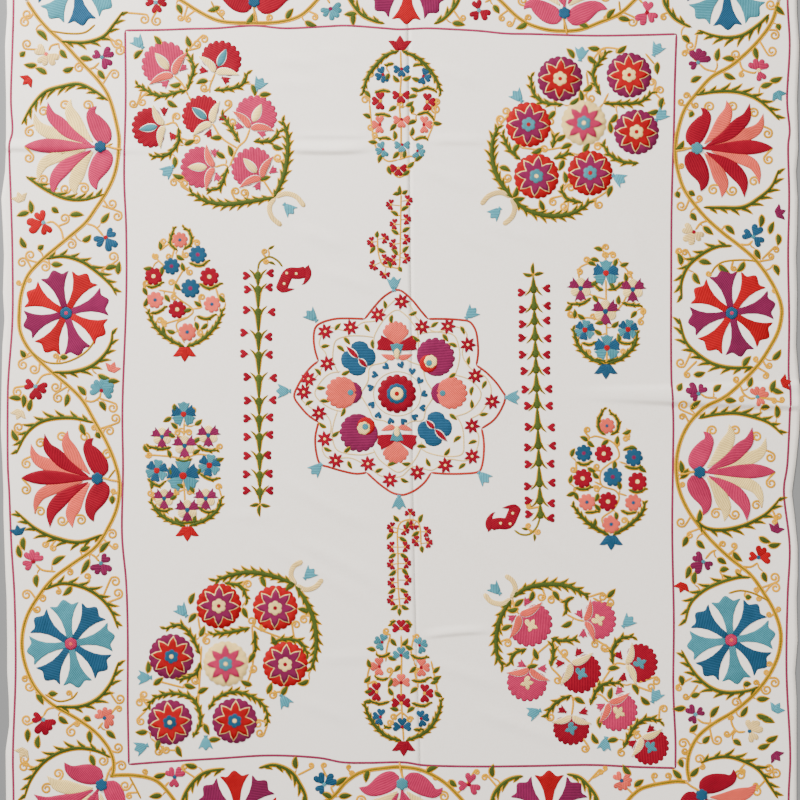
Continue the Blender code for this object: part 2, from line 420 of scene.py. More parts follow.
def smooth_path(points, step):
    """Evenly spaced points on a smooth curve through the given ones: between two points it is
    the Catmull-Rom cubic of their four neighbours, cut again by running length."""
    knots = pairs(points)
    knots = np.vstack([2 * knots[0] - knots[1], knots, 2 * knots[-1] - knots[-2]])
    before, start, end, after = (knots[k:len(knots) - 3 + k, None] for k in range(4))
    t = np.linspace(0.0, 1.0, 8, endpoint=False)[None, :, None]
    cubic = 2 * start + (end - before) * t + (2 * before - 5 * start + 4 * end - after) * t ** 2
    cubic = 0.5 * (cubic + (3 * start - before - 3 * end + after) * t ** 3)
    curve = np.vstack([cubic.reshape(-1, 2), knots[-2]])
    run = np.concatenate([[0.0], np.cumsum(np.hypot(*np.diff(curve, axis=0).T))])
    places = np.linspace(0.0, run[-1], max(4, int(run[-1] / step) + 2))
    return np.stack([np.interp(places, run, curve[:, k]) for k in (0, 1)], axis=-1), places


def normals_of(path):
    """Unit vectors to the left of a path."""
    ahead = np.gradient(path, axis=0)
    ahead /= np.hypot(*ahead.T)[:, None] + 1e-9
    return np.stack([-ahead[:, 1], ahead[:, 0]], axis=-1)


def turned(points, at, turn, mirror=1):
    """Points of a motif drawn along +x, turned by an angle in degrees and set at its place."""
    points = np.asarray(points, float)
    c, s = math.cos(math.radians(turn)), math.sin(math.radians(turn))
    across = points[..., 1] * mirror
    return np.stack([at[0] + points[..., 0] * c - across * s,
                     at[1] + points[..., 0] * s + across * c], axis=-1)


def towards(start, end):
    """Angle in degrees of the way from one point to another."""
    return math.degrees(math.atan2(end[1] - start[1], end[0] - start[0]))


class Needlework:
    """Gathers the stitched areas of one piece. Every length in it is in centimetres."""

    def __init__(self, name):
        self.name = name
        self.plan, self.stand, self.rows, self.colours = [], [], [], []
        self.faces, self.kinds = [], []
        self.total = 0
        self.stems = []

    def add(self, plan, stand, rows, blocks, thread, kind):
        """Adds one closed area: its points in plan, their height above the cloth, the place of
        each in the rows of stitches, and its faces in blocks of one number of corners each."""
        self.plan.append(plan.reshape(-1, 2))
        self.stand.append(stand.reshape(-1))
        self.rows.append(rows.reshape(-1, 2) + rng.uniform(0.0, 5.0))
        self.colours.append(np.broadcast_to(dye(thread), (stand.size, 4)))
        self.faces += [block + self.total for block in blocks]
        self.kinds += [np.full(len(block), kind) for block in blocks]
        self.total += stand.size

    def patch(self, plan, rise, rows, thread, height, layer=0, kind=0):
        """A raised area over a grid of points: rise goes from 0 on the grid's two long rims,
        which sink into the cloth, to 1 on its crown; a flat underside and two ends close it."""
        a, b = plan[1:, :-1] - plan[:-1, :-1], plan[:-1, 1:] - plan[:-1, :-1]
        if np.sum(a[..., 0] * b[..., 1] - a[..., 1] * b[..., 0]) < 0:
            plan, rise, rows = plan[::-1], rise[::-1], rows[::-1]
        stand = np.where(rise > 0.0, layer * LAYER_STEP + height * rise, -RIM_DEPTH)
        index = np.arange(rise.size).reshape(rise.shape)
        over = np.stack([index[:-1, :-1], index[1:, :-1], index[1:, 1:], index[:-1, 1:]], -1)
        under = np.stack([index[:-1, 0], index[:-1, -1], index[1:, -1], index[1:, 0]], -1)
        ends = np.stack([index[0], index[-1, ::-1]])
        self.add(plan, stand, rows, (over.reshape(-1, 4), under, ends), thread, kind)

    def band(self, points, half_width, thread, shape=even, layer=0, step=0.5, columns=5,
             edge=0.7, height=LINE_HEIGHT, kind=1):
        """A line or petal: a flat-topped section carried along a smooth path, as wide at each
        place as the shape says."""
        path, places = smooth_path(points, step)
        share = places / places[-1]
        from_end = np.minimum(places, places[-1] - places)
        width = np.maximum(half_width * shape(share) * np.minimum(1.0, 0.5 + 2.0 * from_end), 0.03)
        v = np.concatenate([[-1.0], np.linspace(-edge, edge, columns - 2), [1.0]])
        plan = path[:, None] + normals_of(path)[:, None] * (width[:, None] * v)[..., None]
        crown = np.where(np.abs(v) < 1.0, 1.0 - 0.3 * (v / edge) ** 2, 0.0)
        ends = np.minimum(1.0, 0.4 + 1.5 * from_end)
        rows = np.stack(np.broadcast_arrays(places[:, None], width[:, None] * v), -1)
        self.patch(plan, crown * ends[:, None], rows, thread, height, layer, kind)
        return path

    def petal(self, points, half_width, thread, shape=lance_shape, layer=0):
        """A broad petal in couched rows."""
        return self.band(points, half_width, thread, shape, layer, 0.45, 9, 0.9, PETAL_HEIGHT, 0)

    def line(self, points, half_width, thread, layer=0, step=0.45):
        """A line of chain stitch."""
        return self.band(points, half_width, thread, even, layer, step)

    def stem(self, points, half_width=0.17, thread="gold"):
        """A stem, which leaves and curls can spring from."""
        path = self.line(points, half_width, thread)
        self.stems.append(path)
        return path

    def fan(self, at, turn, inner, outer, root, width, thread, teeth=3, depth=0.12, sag=0.1,
            flare=1.5, layer=0):
        """A petal that opens like a fan: it widens by a power of the way from its root to its
        corners, and its rim falls off to the sides and has teeth by a squared cosine."""
        s = np.concatenate([[-1.0], np.linspace(-0.94, 0.94, max(5, 4 * teeth + 1)), [1.0]])[:, None]
        t = np.array([0.0, 0.06, 0.3, 0.55, 0.75, 0.87, 0.96, 1.0])[None, :]
        if teeth % 2:
            notch = np.cos(np.pi * (teeth - 1) * s / 2) ** 2
        else:
            notch = np.sin(np.pi * teeth * s / 2) ** 2
        rim = outer * (1.0 - depth * (1.0 - notch) - sag * s ** 2)
        reach = inner + (rim - inner) * t
        way = np.clip((reach - inner) / (outer * (1.0 - sag) - inner), 0.0, 1.0)
        half = root + (width - root) * way ** flare
        local = np.stack([reach, s * half], -1)
        inside = (t > 0.0) & (t < 1.0) & (np.abs(s) < 1.0)
        rise = np.where(inside, 0.75 + 0.25 * (1.0 - s ** 2), 0.0)
        self.patch(turned(local, at, turn), rise, local, thread, PETAL_HEIGHT, layer)

    def shell(self, at, turn, reach, spread, thread, lobes=9, depth=0.07, power=0.8, layer=0):
        """A petal like a shell: rays from its root, each as long as a power of the cosine of its
        angle says, and a rim of rounded lobes."""
        s = np.linspace(-1.0, 1.0, max(13, 4 * lobes + 1))[:, None]
        t = np.array([0.0, 0.06, 0.35, 0.65, 0.92, 1.0])[None, :]
        angle = math.radians(spread) * s
        lobe = np.abs(np.sin(np.pi * lobes * (s + 1.0) / 2.0)) ** 0.5
        rim = reach * np.cos(angle) ** power * (1.0 - depth * (1.0 - lobe))
        ray = 0.1 + (rim - 0.1) * t
        local = np.stack([ray * np.cos(angle), ray * np.sin(angle)], -1)
        rise = np.where((t > 0.0) & (t < 1.0), 0.75 + 0.25 * (1.0 - s ** 2), 0.0)
        self.patch(turned(local, at, turn), rise, local, thread, PETAL_HEIGHT, layer)

    def disc(self, at, radius, thread, lobes=0, depth=0.1, turn=0.0, layer=0, pointed=False,
             height=PETAL_HEIGHT):
        """A round area: rings about a middle point, with a rim of lobes or of sharp points."""
        count = max(12, lobes * (4 if pointed or lobes > 12 else 6))
        around = np.arange(count) / count
        wave = np.abs(2.0 * ((around * lobes) % 1.0) - 1.0)
        dip = 1.0 - wave if pointed else 1.0 - np.sqrt(1.0 - 0.99 * wave ** 2)
        rim = radius * (1.0 - depth * dip) if lobes else np.full(count, radius)
        angle = 2.0 * np.pi * around + math.radians(turn)
        ray = np.stack([np.cos(angle), np.sin(angle)], -1) * rim[:, None]
        shares = np.array([0.35, 0.7, 1.0 - min(0.12, 0.06 / radius), 1.0])
        middle = np.zeros((1, 2))
        local = np.concatenate([middle, (ray * shares[:, None, None]).reshape(-1, 2), middle])
        crown = layer * LAYER_STEP + height
        top = layer * LAYER_STEP + height * np.repeat([1.0, 0.95, 0.8], count)
        stand = np.concatenate([[crown], top, np.full(count + 1, -RIM_DEPTH)])
        ring = 1 + np.arange(4 * count).reshape(4, count)
        after = np.roll(ring, -1, axis=1)
        sides = np.stack([ring[:-1], ring[1:], after[1:], after[:-1]], -1).reshape(-1, 4)
        above = np.stack([np.zeros_like(ring[0]), ring[0], after[0]], -1)
        below = np.stack([np.full_like(ring[0], stand.size - 1), after[-1], ring[-1]], -1)
        self.add(local + np.asarray(at), stand, local, (sides, above, below), thread, 0)

    def dot(self, at, radius, thread):
        """A small low disc on top of a flower."""
        self.disc(at, radius, thread, layer=1, height=LINE_HEIGHT)

    def nearest_stem(self, point):
        """The point of all stems drawn so far that is nearest."""
        stems = np.vstack(self.stems)
        return stems[np.argmin(np.hypot(*(stems - point).T))]

    def curl(self, at, radius=0.75, root=None, hand=1):
        """A tendril: a straight run from its root that touches a circle and winds inwards on a
        shrinking radius for a little over one turn."""
        at = np.asarray(at, float)
        root = self.nearest_stem(at) if root is None else np.asarray(root, float)
        away = max(np.hypot(*(root - at)), radius * 1.15)
        bearing = math.radians(towards(at, root))
        away = min(away, radius + 2.6)
        first = at + away * np.array([math.cos(bearing), math.sin(bearing)])
        winding = np.arange(13)
        angle = bearing + hand * math.acos(radius / away) + hand * winding * 0.72
        ray = np.stack([np.cos(angle), np.sin(angle)], -1)
        spiral = at + (radius * (1.0 - 0.062 * winding))[:, None] * ray
        self.line(np.vstack([first, spiral]), TENDRIL, "gold", 0, 0.27)

    def leaf(self, base, tip, half_width=0.45):
        """A small leaf: an edge of one thread and a raised heart of a darker one."""
        base, tip = np.asarray(base, float), np.asarray(tip, float)
        bend = np.array([base[1] - tip[1], tip[0] - base[0]]) * rng.uniform(-0.12, 0.12)
        middle = (base + tip) / 2 + bend
        heart = (base * 0.92 + tip * 0.08, middle, base * 0.08 + tip * 0.92)
        self.band((base, middle, tip), half_width, "gold", leaf_shape, 0, 0.35, 5, 0.8)
        self.band(heart, half_width * 0.70, "green", leaf_shape, 1, 0.35, 5, 0.8)

    def leaves(self, places, length=1.9, half_width=0.45, join=True):
        """Small leaves, each from its base to its tip, or lying at a middle point and then
        turned away from the nearest stem, with a thin stalk to it."""
        for number, place in enumerate(rows_of(places)):
            if len(place) == 4:
                base, tip = np.array(place[:2]), np.array(place[2:])
            else:
                middle = np.array(place, float)
                root = self.nearest_stem(middle)
                angle = math.radians(towards(root, middle) + (38 if number % 2 else -38))
                way = np.array([math.cos(angle), math.sin(angle)]) * length / 2
                base, tip = middle - way, middle + way
            root = self.nearest_stem(base)
            gap = np.hypot(*(root - base))
            if join and 0.2 < gap < 2.2:
                side = np.array([base[1] - root[1], root[0] - base[0]]) * 0.15
                self.line((root, (root + base) / 2 + side, base), 0.20, "gold")
            self.leaf(base, tip, half_width)

    def curls(self, places, radius=0.75):
        """Tendrils about the given middle points, winding left and right in turn."""
        for number, (x, y, *own) in enumerate(rows_of(places)):
            self.curl((x, y), own[0] if own else radius, hand=1 if number % 2 else -1)

    def feather(self, points, sides=(1,), half_width=0.42, barb=1.3, pitch=1.7):
        """A feather leaf: a gold edge under a green rib, fullest in its middle, with short barbs
        slanting forwards off the sides named."""
        path, places = smooth_path(points, 0.4)
        self.band(points, half_width + 0.28, "gold", lambda t: leaf_shape(t) ** 0.6 * 0.7 + 0.3, 0, 0.45)
        self.band(points, half_width, "green", lambda t: leaf_shape(t) ** 0.6 * 0.8 + 0.2, 2, 0.45)
        self.stems.append(path)
        normal = normals_of(path)
        ahead = np.stack([normal[:, 1], -normal[:, 0]], -1)
        root_width = 0.29 * barb ** 0.4
        for side in sides:
            count = max(2, int(places[-1] / pitch))
            for number in range(count):
                share = (number + 0.4 + 0.35 * (side < 0)) / (count + 0.2)
                spot = min(int(share * len(path)), len(path) - 1)
                long = barb * (0.75 + 0.5 * math.sin(math.pi * share)) * rng.uniform(0.85, 1.1)
                root = path[spot]
                way = ahead[spot] * 0.80 + normal[spot] * side * 0.62
                middle = root + way * 0.5 * long + ahead[spot] * 0.10 * long
                tip = root + way * long
                heart = (root, middle, root * 0.14 + tip * 0.86)
                self.band((root, middle, tip), root_width + 0.24, "gold", taper_shape, 0, 0.45)
                self.band(heart, root_width, "green", taper_shape, 1, 0.45)

    def tulip(self, at, turn, size, thread):
        """A little three-pointed flower: an upright middle petal and two that bend outwards."""
        middle = pairs((0, 0, 0.5, 0, 1, 0)) * size
        outer = pairs((0, 0, 0.32, 0.26, 0.5, 0.5, 0.62, 0.78)) * size
        self.petal(turned(middle, at, turn), 0.34 * size, thread, full_shape)
        for side in (-1, 1):
            self.petal(turned(outer, at, turn, side), 0.26 * size, thread, full_shape)

    def tuft(self, at, turn, thread="sky", size=1.3):
        """A tuft with a small calyx and a ragged fan of three points."""
        foot = turned((-0.75 * size, 0.0), at, turn)
        self.fan(foot, turn, 0.0, size * 1.75, size * 0.3, size * 1.05, thread, 3, 0.24, 0.12, 0.8)
        self.fan(foot, turn, -0.35 * size, 0.25 * size, 0.35 * size, 0.12 * size, thread, 1, 0.0, 0.0, 1.0)

    def heart(self, at, turn, size, thread):
        """A two-lobed petal with its point at the back."""
        self.shell(turned((-size, 0.0), at, turn), turn, size * 2.1, 40, thread, 2, 0.30, 0.2)

    def trefoil(self, core, petals, thread, heart):
        """Three heart-shaped petals that meet at a small core."""
        for petal in pairs(petals):
            reach = np.hypot(petal[0] - core[0], petal[1] - core[1]) + 0.8
            self.shell(core, towards(core, petal), reach, 39, thread, 2, 0.26, 0.25)
        self.dot(core, 0.42, heart)

    def small_trefoil(self, at, facing, reach, width, thread, dot):
        """Three little petals about a dot, the middle one along the way it faces."""
        for spread in (-86, 0, 86):
            self.shell(at, facing + spread, reach * 1.04, 39, thread, 2, 0.20, 0.25)
        self.dot(at, 0.26 * width + 0.08, dot)

    def palmette(self, at, turn, mirror, main, other, core):
        """A nine-petalled palmette that opens along its turn."""
        tips = []
        for points, half_width, first, shape in PALMETTE_PETALS:
            spine = turned(pairs(points), at, turn, mirror)
            self.petal(spine, half_width, main if first else other, shape, 1 if first else 0)
            tips += [spine[-1], spine[-2]]
        link = turned(pairs((-4.1, -0.5, -2.6, -0.3, -1.2, 0.1, 0.2, 0)), at, turn, mirror)
        self.band(link, 0.24, "gold", even, 2)
        self.disc(at, 1.2, core, 6, 0.22, layer=3)
        tips = np.array(tips)
        for place in pairs(PALMETTE_CURLS):
            spot = turned(place, at, turn, mirror)
            root = tips[np.argmin(np.hypot(*(tips - spot).T))]
            self.curl(spot, 0.95, root, -mirror if place[1] > 0 else mirror)

    def rosette(self, at, turn, first, second, core, dot):
        """A border rosette: eight trumpet-shaped petals in two threads about a core."""
        for number in range(8):
            thread = second if number % 2 else first
            self.fan(at, turn + 45 * number, 0.9, 8.6, 0.65, 2.95, thread, 3, 0.10, 0.12, 2.8)
        self.disc(at, 1.2, core, 6, 0.12, layer=1)
        self.disc(at, 0.4, dot, layer=2, height=LINE_HEIGHT)

    def star_rosette(self, at, rim, star, ring, dot):
        """A field rosette: a scalloped disc, an eight-pointed star with a pale edge, a ring and
        a dot, each a layer above the last."""
        turn = rng.uniform(-8, 8)
        self.disc(at, STAR_RADIUS * 1.04, rim, 20, 0.07, turn)
        self.disc(at, STAR_RADIUS * 0.95, "cream", 8, 0.42, turn, 1, True)
        self.disc(at, STAR_RADIUS * 0.89, star, 8, 0.44, turn, 2, True)
        self.disc(at, STAR_RADIUS * 0.34, ring, 6, 0.26, turn, 3)
        self.disc(at, STAR_RADIUS * 0.11, dot, 6, 0.1, turn, 4, height=LINE_HEIGHT)

    def carnation(self, at, turn, rim, main, other, heart, tufts, starred):
        """A carnation: a scalloped shell, a sepal curved along each side, and a lozenge or a
        small four-pointed star on its axis."""
        self.shell(at, turn, rim * 1.05, 78, main, 13, 0.07, 0.52)
        sepal = pairs((0, 0.02, 0.13, 0.17, 0.21, 0.38, 0.25, 0.68)) * rim
        for side in (-1, 1):
            spine = turned(sepal, at, turn, side)
            self.petal(spine, rim * 0.115 + 0.1, "white", full_shape, 1)
            self.petal(spine, rim * 0.115, other, full_shape, 2)
        if starred:
            self.disc(turned((0.46 * rim, 0), at, turn), 1.35, heart, 4, 0.55, turn + 20, 1, True)
            self.disc(turned((0.30 * rim, 0), at, turn), 0.5, heart, layer=1)
        else:
            near, far = turned(((0.22 * rim, 0), (0.80 * rim, 0)), at, turn)
            axis = (near, (near + far) / 2, far)
            self.band(axis, rim * 0.17, "white", leaf_shape, 2, 0.4)
            self.band(axis, rim * 0.145, heart, leaf_shape, 3, 0.4)
        for spot in pairs(tufts):
            self.tuft(spot, towards(at, spot), "rose" if main == "rose" else "crimson", 0.85)

    def finish(self):
        """Makes the piece: each point is lifted from the folded cloth by its stand."""
        plan = np.concatenate(self.plan) * CM
        height = cloth_height(plan[:, 0], plan[:, 1]) + CLOTH_THICKNESS + np.concatenate(self.stand)
        faces = [face for block in self.faces for face in block.tolist()]
        mesh = bpy.data.meshes.new(self.name)
        mesh.from_pydata(np.column_stack([plan, height]), [], faces)
        corners = np.empty(len(mesh.loops), np.int32)
        mesh.loops.foreach_get("vertex_index", corners)
        rows = mesh.uv_layers.new(name="rows")
        rows.data.foreach_set("uv", np.concatenate(self.rows)[corners].astype(np.float32).ravel())
        colour = mesh.color_attributes.new("thread", "FLOAT_COLOR", "POINT")
        colour.data.foreach_set("color", np.concatenate(self.colours).astype(np.float32).ravel())
        mesh.shade_smooth()
        piece = new_object(self.name, mesh, SILKS["couched"])
        mesh.materials.append(SILKS["chain"])
        mesh.polygons.foreach_set("material_index", np.concatenate(self.kinds).astype(np.int32))
        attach(piece, "root")
        return piece


# A palmette's petals along +x from its core: spine, half width, in the first thread or not, form
PALMETTE_PETALS = (
    ((3, 0.6, 7.5, 2, 10.6, 3.1, 12, 4.4, 12.6, 6.6), 1.2, False, hook_shape),
    ((2.7, -0.6, 7.1, -1.6, 10.4, -2.9, 11.6, -4.9, 11.8, -6.8), 1.1, False, hook_shape),
    ((1.4, 0.8, 3.8, 3.4, 5.2, 5.5, 5.9, 7.3, 5.6, 9.1), 1.3, False, hook_shape),
    ((1.4, -0.9, 3.4, -3.5, 4.4, -5.5, 5, -7.1, 4.7, -9.4), 1.3, False, hook_shape),
    ((0.5, 0, 5, 0.1, 10, 0.2, 14.4, 0.1), 1.4, True, lance_shape),
    ((1.6, 0.3, 5.7, 2.5, 7.9, 4.5, 9.4, 6, 10, 8.5), 1.3, True, hook_shape),
    ((1.7, -0.7, 5.5, -2.9, 7.8, -5, 8.8, -6.8, 9, -9.3), 1.35, True, hook_shape),
    ((-1.3, 0.5, -0.2, 2.8, 1, 4.7, 1.7, 6, 1.5, 7, 0.7, 7.7), 1.9, True, full_shape),
    ((-1.5, -0.6, -0.4, -2.8, 0.9, -5.1, 1.2, -6.7, 0.7, -8.2), 2, True, full_shape),
)
PALMETTE_CURLS = (
    10.8, 6.7, 6.8, 7.9, 2.4, 7.9, 13.4, 2.8, 13.6, -2.1, 10.8, -6.3, 6.7, -8, 3.1, -7.9,
)
# Palmettes: place, turn, mirrored or not, first and second thread, core
PALMETTES = (
    ((-57, 47.8), 180, -1, "rose", "cream", "indigo"),
    ((-57.6, -15.2), 180, -1, "crimson", "salmon", "indigo"),
    ((56.3, 47.5), 0, 1, "crimson", "salmon", "teal"),
    ((56.8, -14), 0, 1, "rose", "cream", "indigo"),
    ((-27.8, 75.4), 90, 1, "crimson", "salmon", "indigo"),
    ((31.1, 73.2), 90, 1, "rose", "cream", "indigo"),
    ((0.3, -73.2), -90, 1, "rose", "cream", "teal"),
    ((-56.8, -73.4), -126, 1, "rose", "cream", "indigo"),
    ((57.2, -75.3), -46, 1, "crimson", "salmon", "indigo"),
)
# Rosettes: place, turn, first and second thread, core, dot
ROSETTES = (
    ((-63.5, 16.2), 17, "plum", "scarlet", "indigo", "rose"),
    ((-62.6, -46.6), 10, "teal", "indigo", "rose", "salmon"),
    ((62.9, 16.2), 12, "plum", "scarlet", "indigo", "rose"),
    ((62.8, -45.9), 8, "teal", "indigo", "rose", "salmon"),
    ((-61.8, 79.1), 10, "indigo", "teal", "rose", "salmon"),
    ((61.9, 78.4), 2, "indigo", "teal", "rose", "salmon"),
    ((1.4, 79.5), -92, "scarlet", "plum", "indigo", "rose"),
    ((-30.9, -79.1), 95, "scarlet", "plum", "indigo", "rose"),
    ((28.2, -79.1), 90, "scarlet", "plum", "indigo", "rose"),
)

# The vine of the border, round the cloth in four runs
VINES = (
    (-71, 75.5, -69, 72.5, -66.5, 69.7, -64, 67.5, -61, 64.2, -57.5, 60.5, -55.3, 57, -53.7, 51, -53.5, 47.5,
     -54.2, 43, -55.8, 39.3, -58.3, 35.5, -60, 33.2, -64, 29.8, -68, 26.4, -70.7, 23.5, -72, 20, -72.4, 16.5,
     -72.3, 13, -71, 10, -69, 7.6, -66, 4.8, -63, 2.3, -60.3, -0.5, -58, -4.5, -56, -8, -54.3, -12,
     -53.4, -16, -53.8, -20.5, -55.5, -24.5, -58, -28.3, -62, -31.2, -66, -34.2, -68.7, -37.5, -71, -41.5,
     -71.9, -46, -71.3, -50.5, -69.3, -55, -66, -58.2, -61.5, -60.8, -57.5, -63.8, -54.9, -67.5, -54.5, -71,
     -55.5, -73),
    (71.8, 75.5, 70.5, 71.5, 68, 68, 65, 65, 62.5, 63, 59, 61, 56.3, 58, 54, 55, 52.7, 51, 52.2, 47.5,
     52.5, 44, 53.7, 40, 55.7, 37, 58.3, 34, 61.5, 31.2, 64.5, 28.9, 67.5, 26.2, 70.2, 22.5, 71.9, 19,
     72.4, 16.5, 71.8, 13, 70.3, 10, 68, 6.5, 65, 3.3, 61.5, 0.3, 58, -1.5, 55, -4.5, 53.2, -8, 52.4, -12,
     52.7, -16.5, 54.2, -20.5, 56.5, -24, 59.5, -27.5, 63, -30.7, 66.5, -33.5, 69, -37, 71, -40.5,
     72.2, -44.5, 71.8, -48.5, 70, -52.5, 67.3, -56, 63.5, -59.3, 59.5, -61.7, 56.5, -64.2, 54.8, -67.5,
     54.5, -70.5, 55, -73, 55.6, -73.8),
    (-71, 75.5, -70.5, 82, -66, 87, -60, 88, -54, 86, -49, 81, -44.5, 77.3, -41.5, 75.5, -38, 73.3, -34, 71.6,
     -28, 71.3, -23, 71.5, -19, 72.7, -16, 75.5, -12, 80, -8, 85, -2, 88.3, 4, 88.3, 10, 85, 14, 80, 19, 75.5,
     21, 73.5, 23.5, 71.5, 27, 70.2, 30, 69.8, 34, 70, 38, 71.5, 41.5, 73, 44.5, 75.7, 48.5, 80, 53, 85,
     58, 88, 65, 87.5, 70, 83, 72, 78, 71.8, 75.5),
    (-55.3, -71.7, -52, -71.5, -48, -72, -45.5, -73.3, -42.5, -77, -39.5, -82, -35, -86.5, -30, -88,
     -25, -86.5, -20.5, -82, -17, -78, -13, -75.8, -10.5, -73, -7.5, -71, -3, -70.2, 0, -70, 4, -70.6,
     8, -72.7, 11, -75.5, 15, -80, 19.5, -85, 25, -88, 31, -88, 36.5, -85, 40, -80, 43.5, -76, 45.5, -74.2,
     49, -73.2, 53, -72.7, 55, -73),
)
VINE_TWIGS = (
    (-36, 75.5, -35, 73.5, -33.5, 72), (41.5, 75.5, 41.7, 73.5), (-70, 8.8, -67.5, 7, -64.5, 6.7, -61.5, 7.7,
    -59.3, 9.3, -58.1, 11), (-67.5, -56.2, -65, -57.5, -62.5, -57, -61.3, -55.7),
    (68, 26, 65, 26.3, 61.5, 26, 59.8, 25, 59, 23.7), (70, -38.5, 67, -37, 64.5, -36.5, 62.3, -37),
    (-66.5, 69.8, -63, 69.3, -60, 69.5, -58, 71), (-51.5, -71.8, -50.3, -74, -49.3, -76),
    (-54.6, 48.4, -55.8, 47.9), (-54.2, -13.5, -55.5, -15.2), (52.6, 47.6, 55, 47.5), (53, -13.5, 55.4, -14),
    (-27.8, 71.4, -27.8, 74), (31.1, 70, 31.1, 72), (0.2, -70, 0.3, -72),
)

# Guard lines, from the lower end to the upper, and across the two ends
GUARD_LEFT = (
    -73.6, -91.4, -73.5, -76, -73.6, -67, -73.1, -52, -73.3, -38, -73.9, -28, -74.3, -18, -74.6, -12,
    -74.6, 0, -74.4, 5, -73.7, 15, -73.7, 27, -74, 38, -74.3, 47.5, -73.7, 51, -74, 57, -73.7, 67, -73.5, 76,
    -73.7, 91.4,
)
GUARD_RIGHT = (
    73.6, -91.4, 73.7, -76, 74, -67, 73.3, -52, 73.5, -38, 73.9, -28, 72.8, -18, 73.5, -12, 74, 0, 73.7, 5,
    73.8, 15, 73.6, 27, 73.8, 38, 73.6, 47.5, 73.9, 51, 73.4, 57, 73.9, 67, 73.5, 76, 73.6, 91.4,
)
GUARD_ENDS = (
    (-73.7, 91.4, -50, 91.2, -20, 91.5, 10, 91.3, 45, 91.5, 73.6, 91.4),
    (-73.6, -91.4, -45, -91.5, -15, -91.2, 20, -91.5, 50, -91.3, 73.6, -91.4),
)
FRAME_LINES = (
    (-52.3, 69.9, -45, 70, -40, 70.2, -35, 70.3, -28, 70.8, -22, 70.3, -15, 70.6, -10, 70.8, -3, 70.3,
     0, 70.1, 5, 70.3, 10, 70.1, 15, 69.8, 20, 69.3, 25, 69.2, 36, 68.9, 45, 69, 52.4, 69.2),
    (52.4, 69.2, 52.1, 60.5, 51.9, 51, 51.5, 37.7, 51.4, 25, 51.4, 5.6, 51.8, -4, 51.7, -14, 51.6, -26,
     51.9, -42, 51.8, -55, 52.2, -64.5, 52.2, -70.2),
    (52.2, -70.2, 45, -70, 36, -69.6, 25, -69.8, 15, -69.9, 5, -69.7, 0.5, -69.1, -6, -69.2, -11, -69.1,
     -16, -68.2, -25, -67.8, -35, -68.4, -45, -69, -51.6, -69.5),
    (-51.6, -69.5, -51.8, -58, -51.8, -45, -52.1, -35, -52.9, -25.7, -52.7, -13.6, -52.8, -1, -52.1, 18.7,
     -52.1, 32, -52.5, 42.5, -52.2, 57, -52.3, 69.9),
)

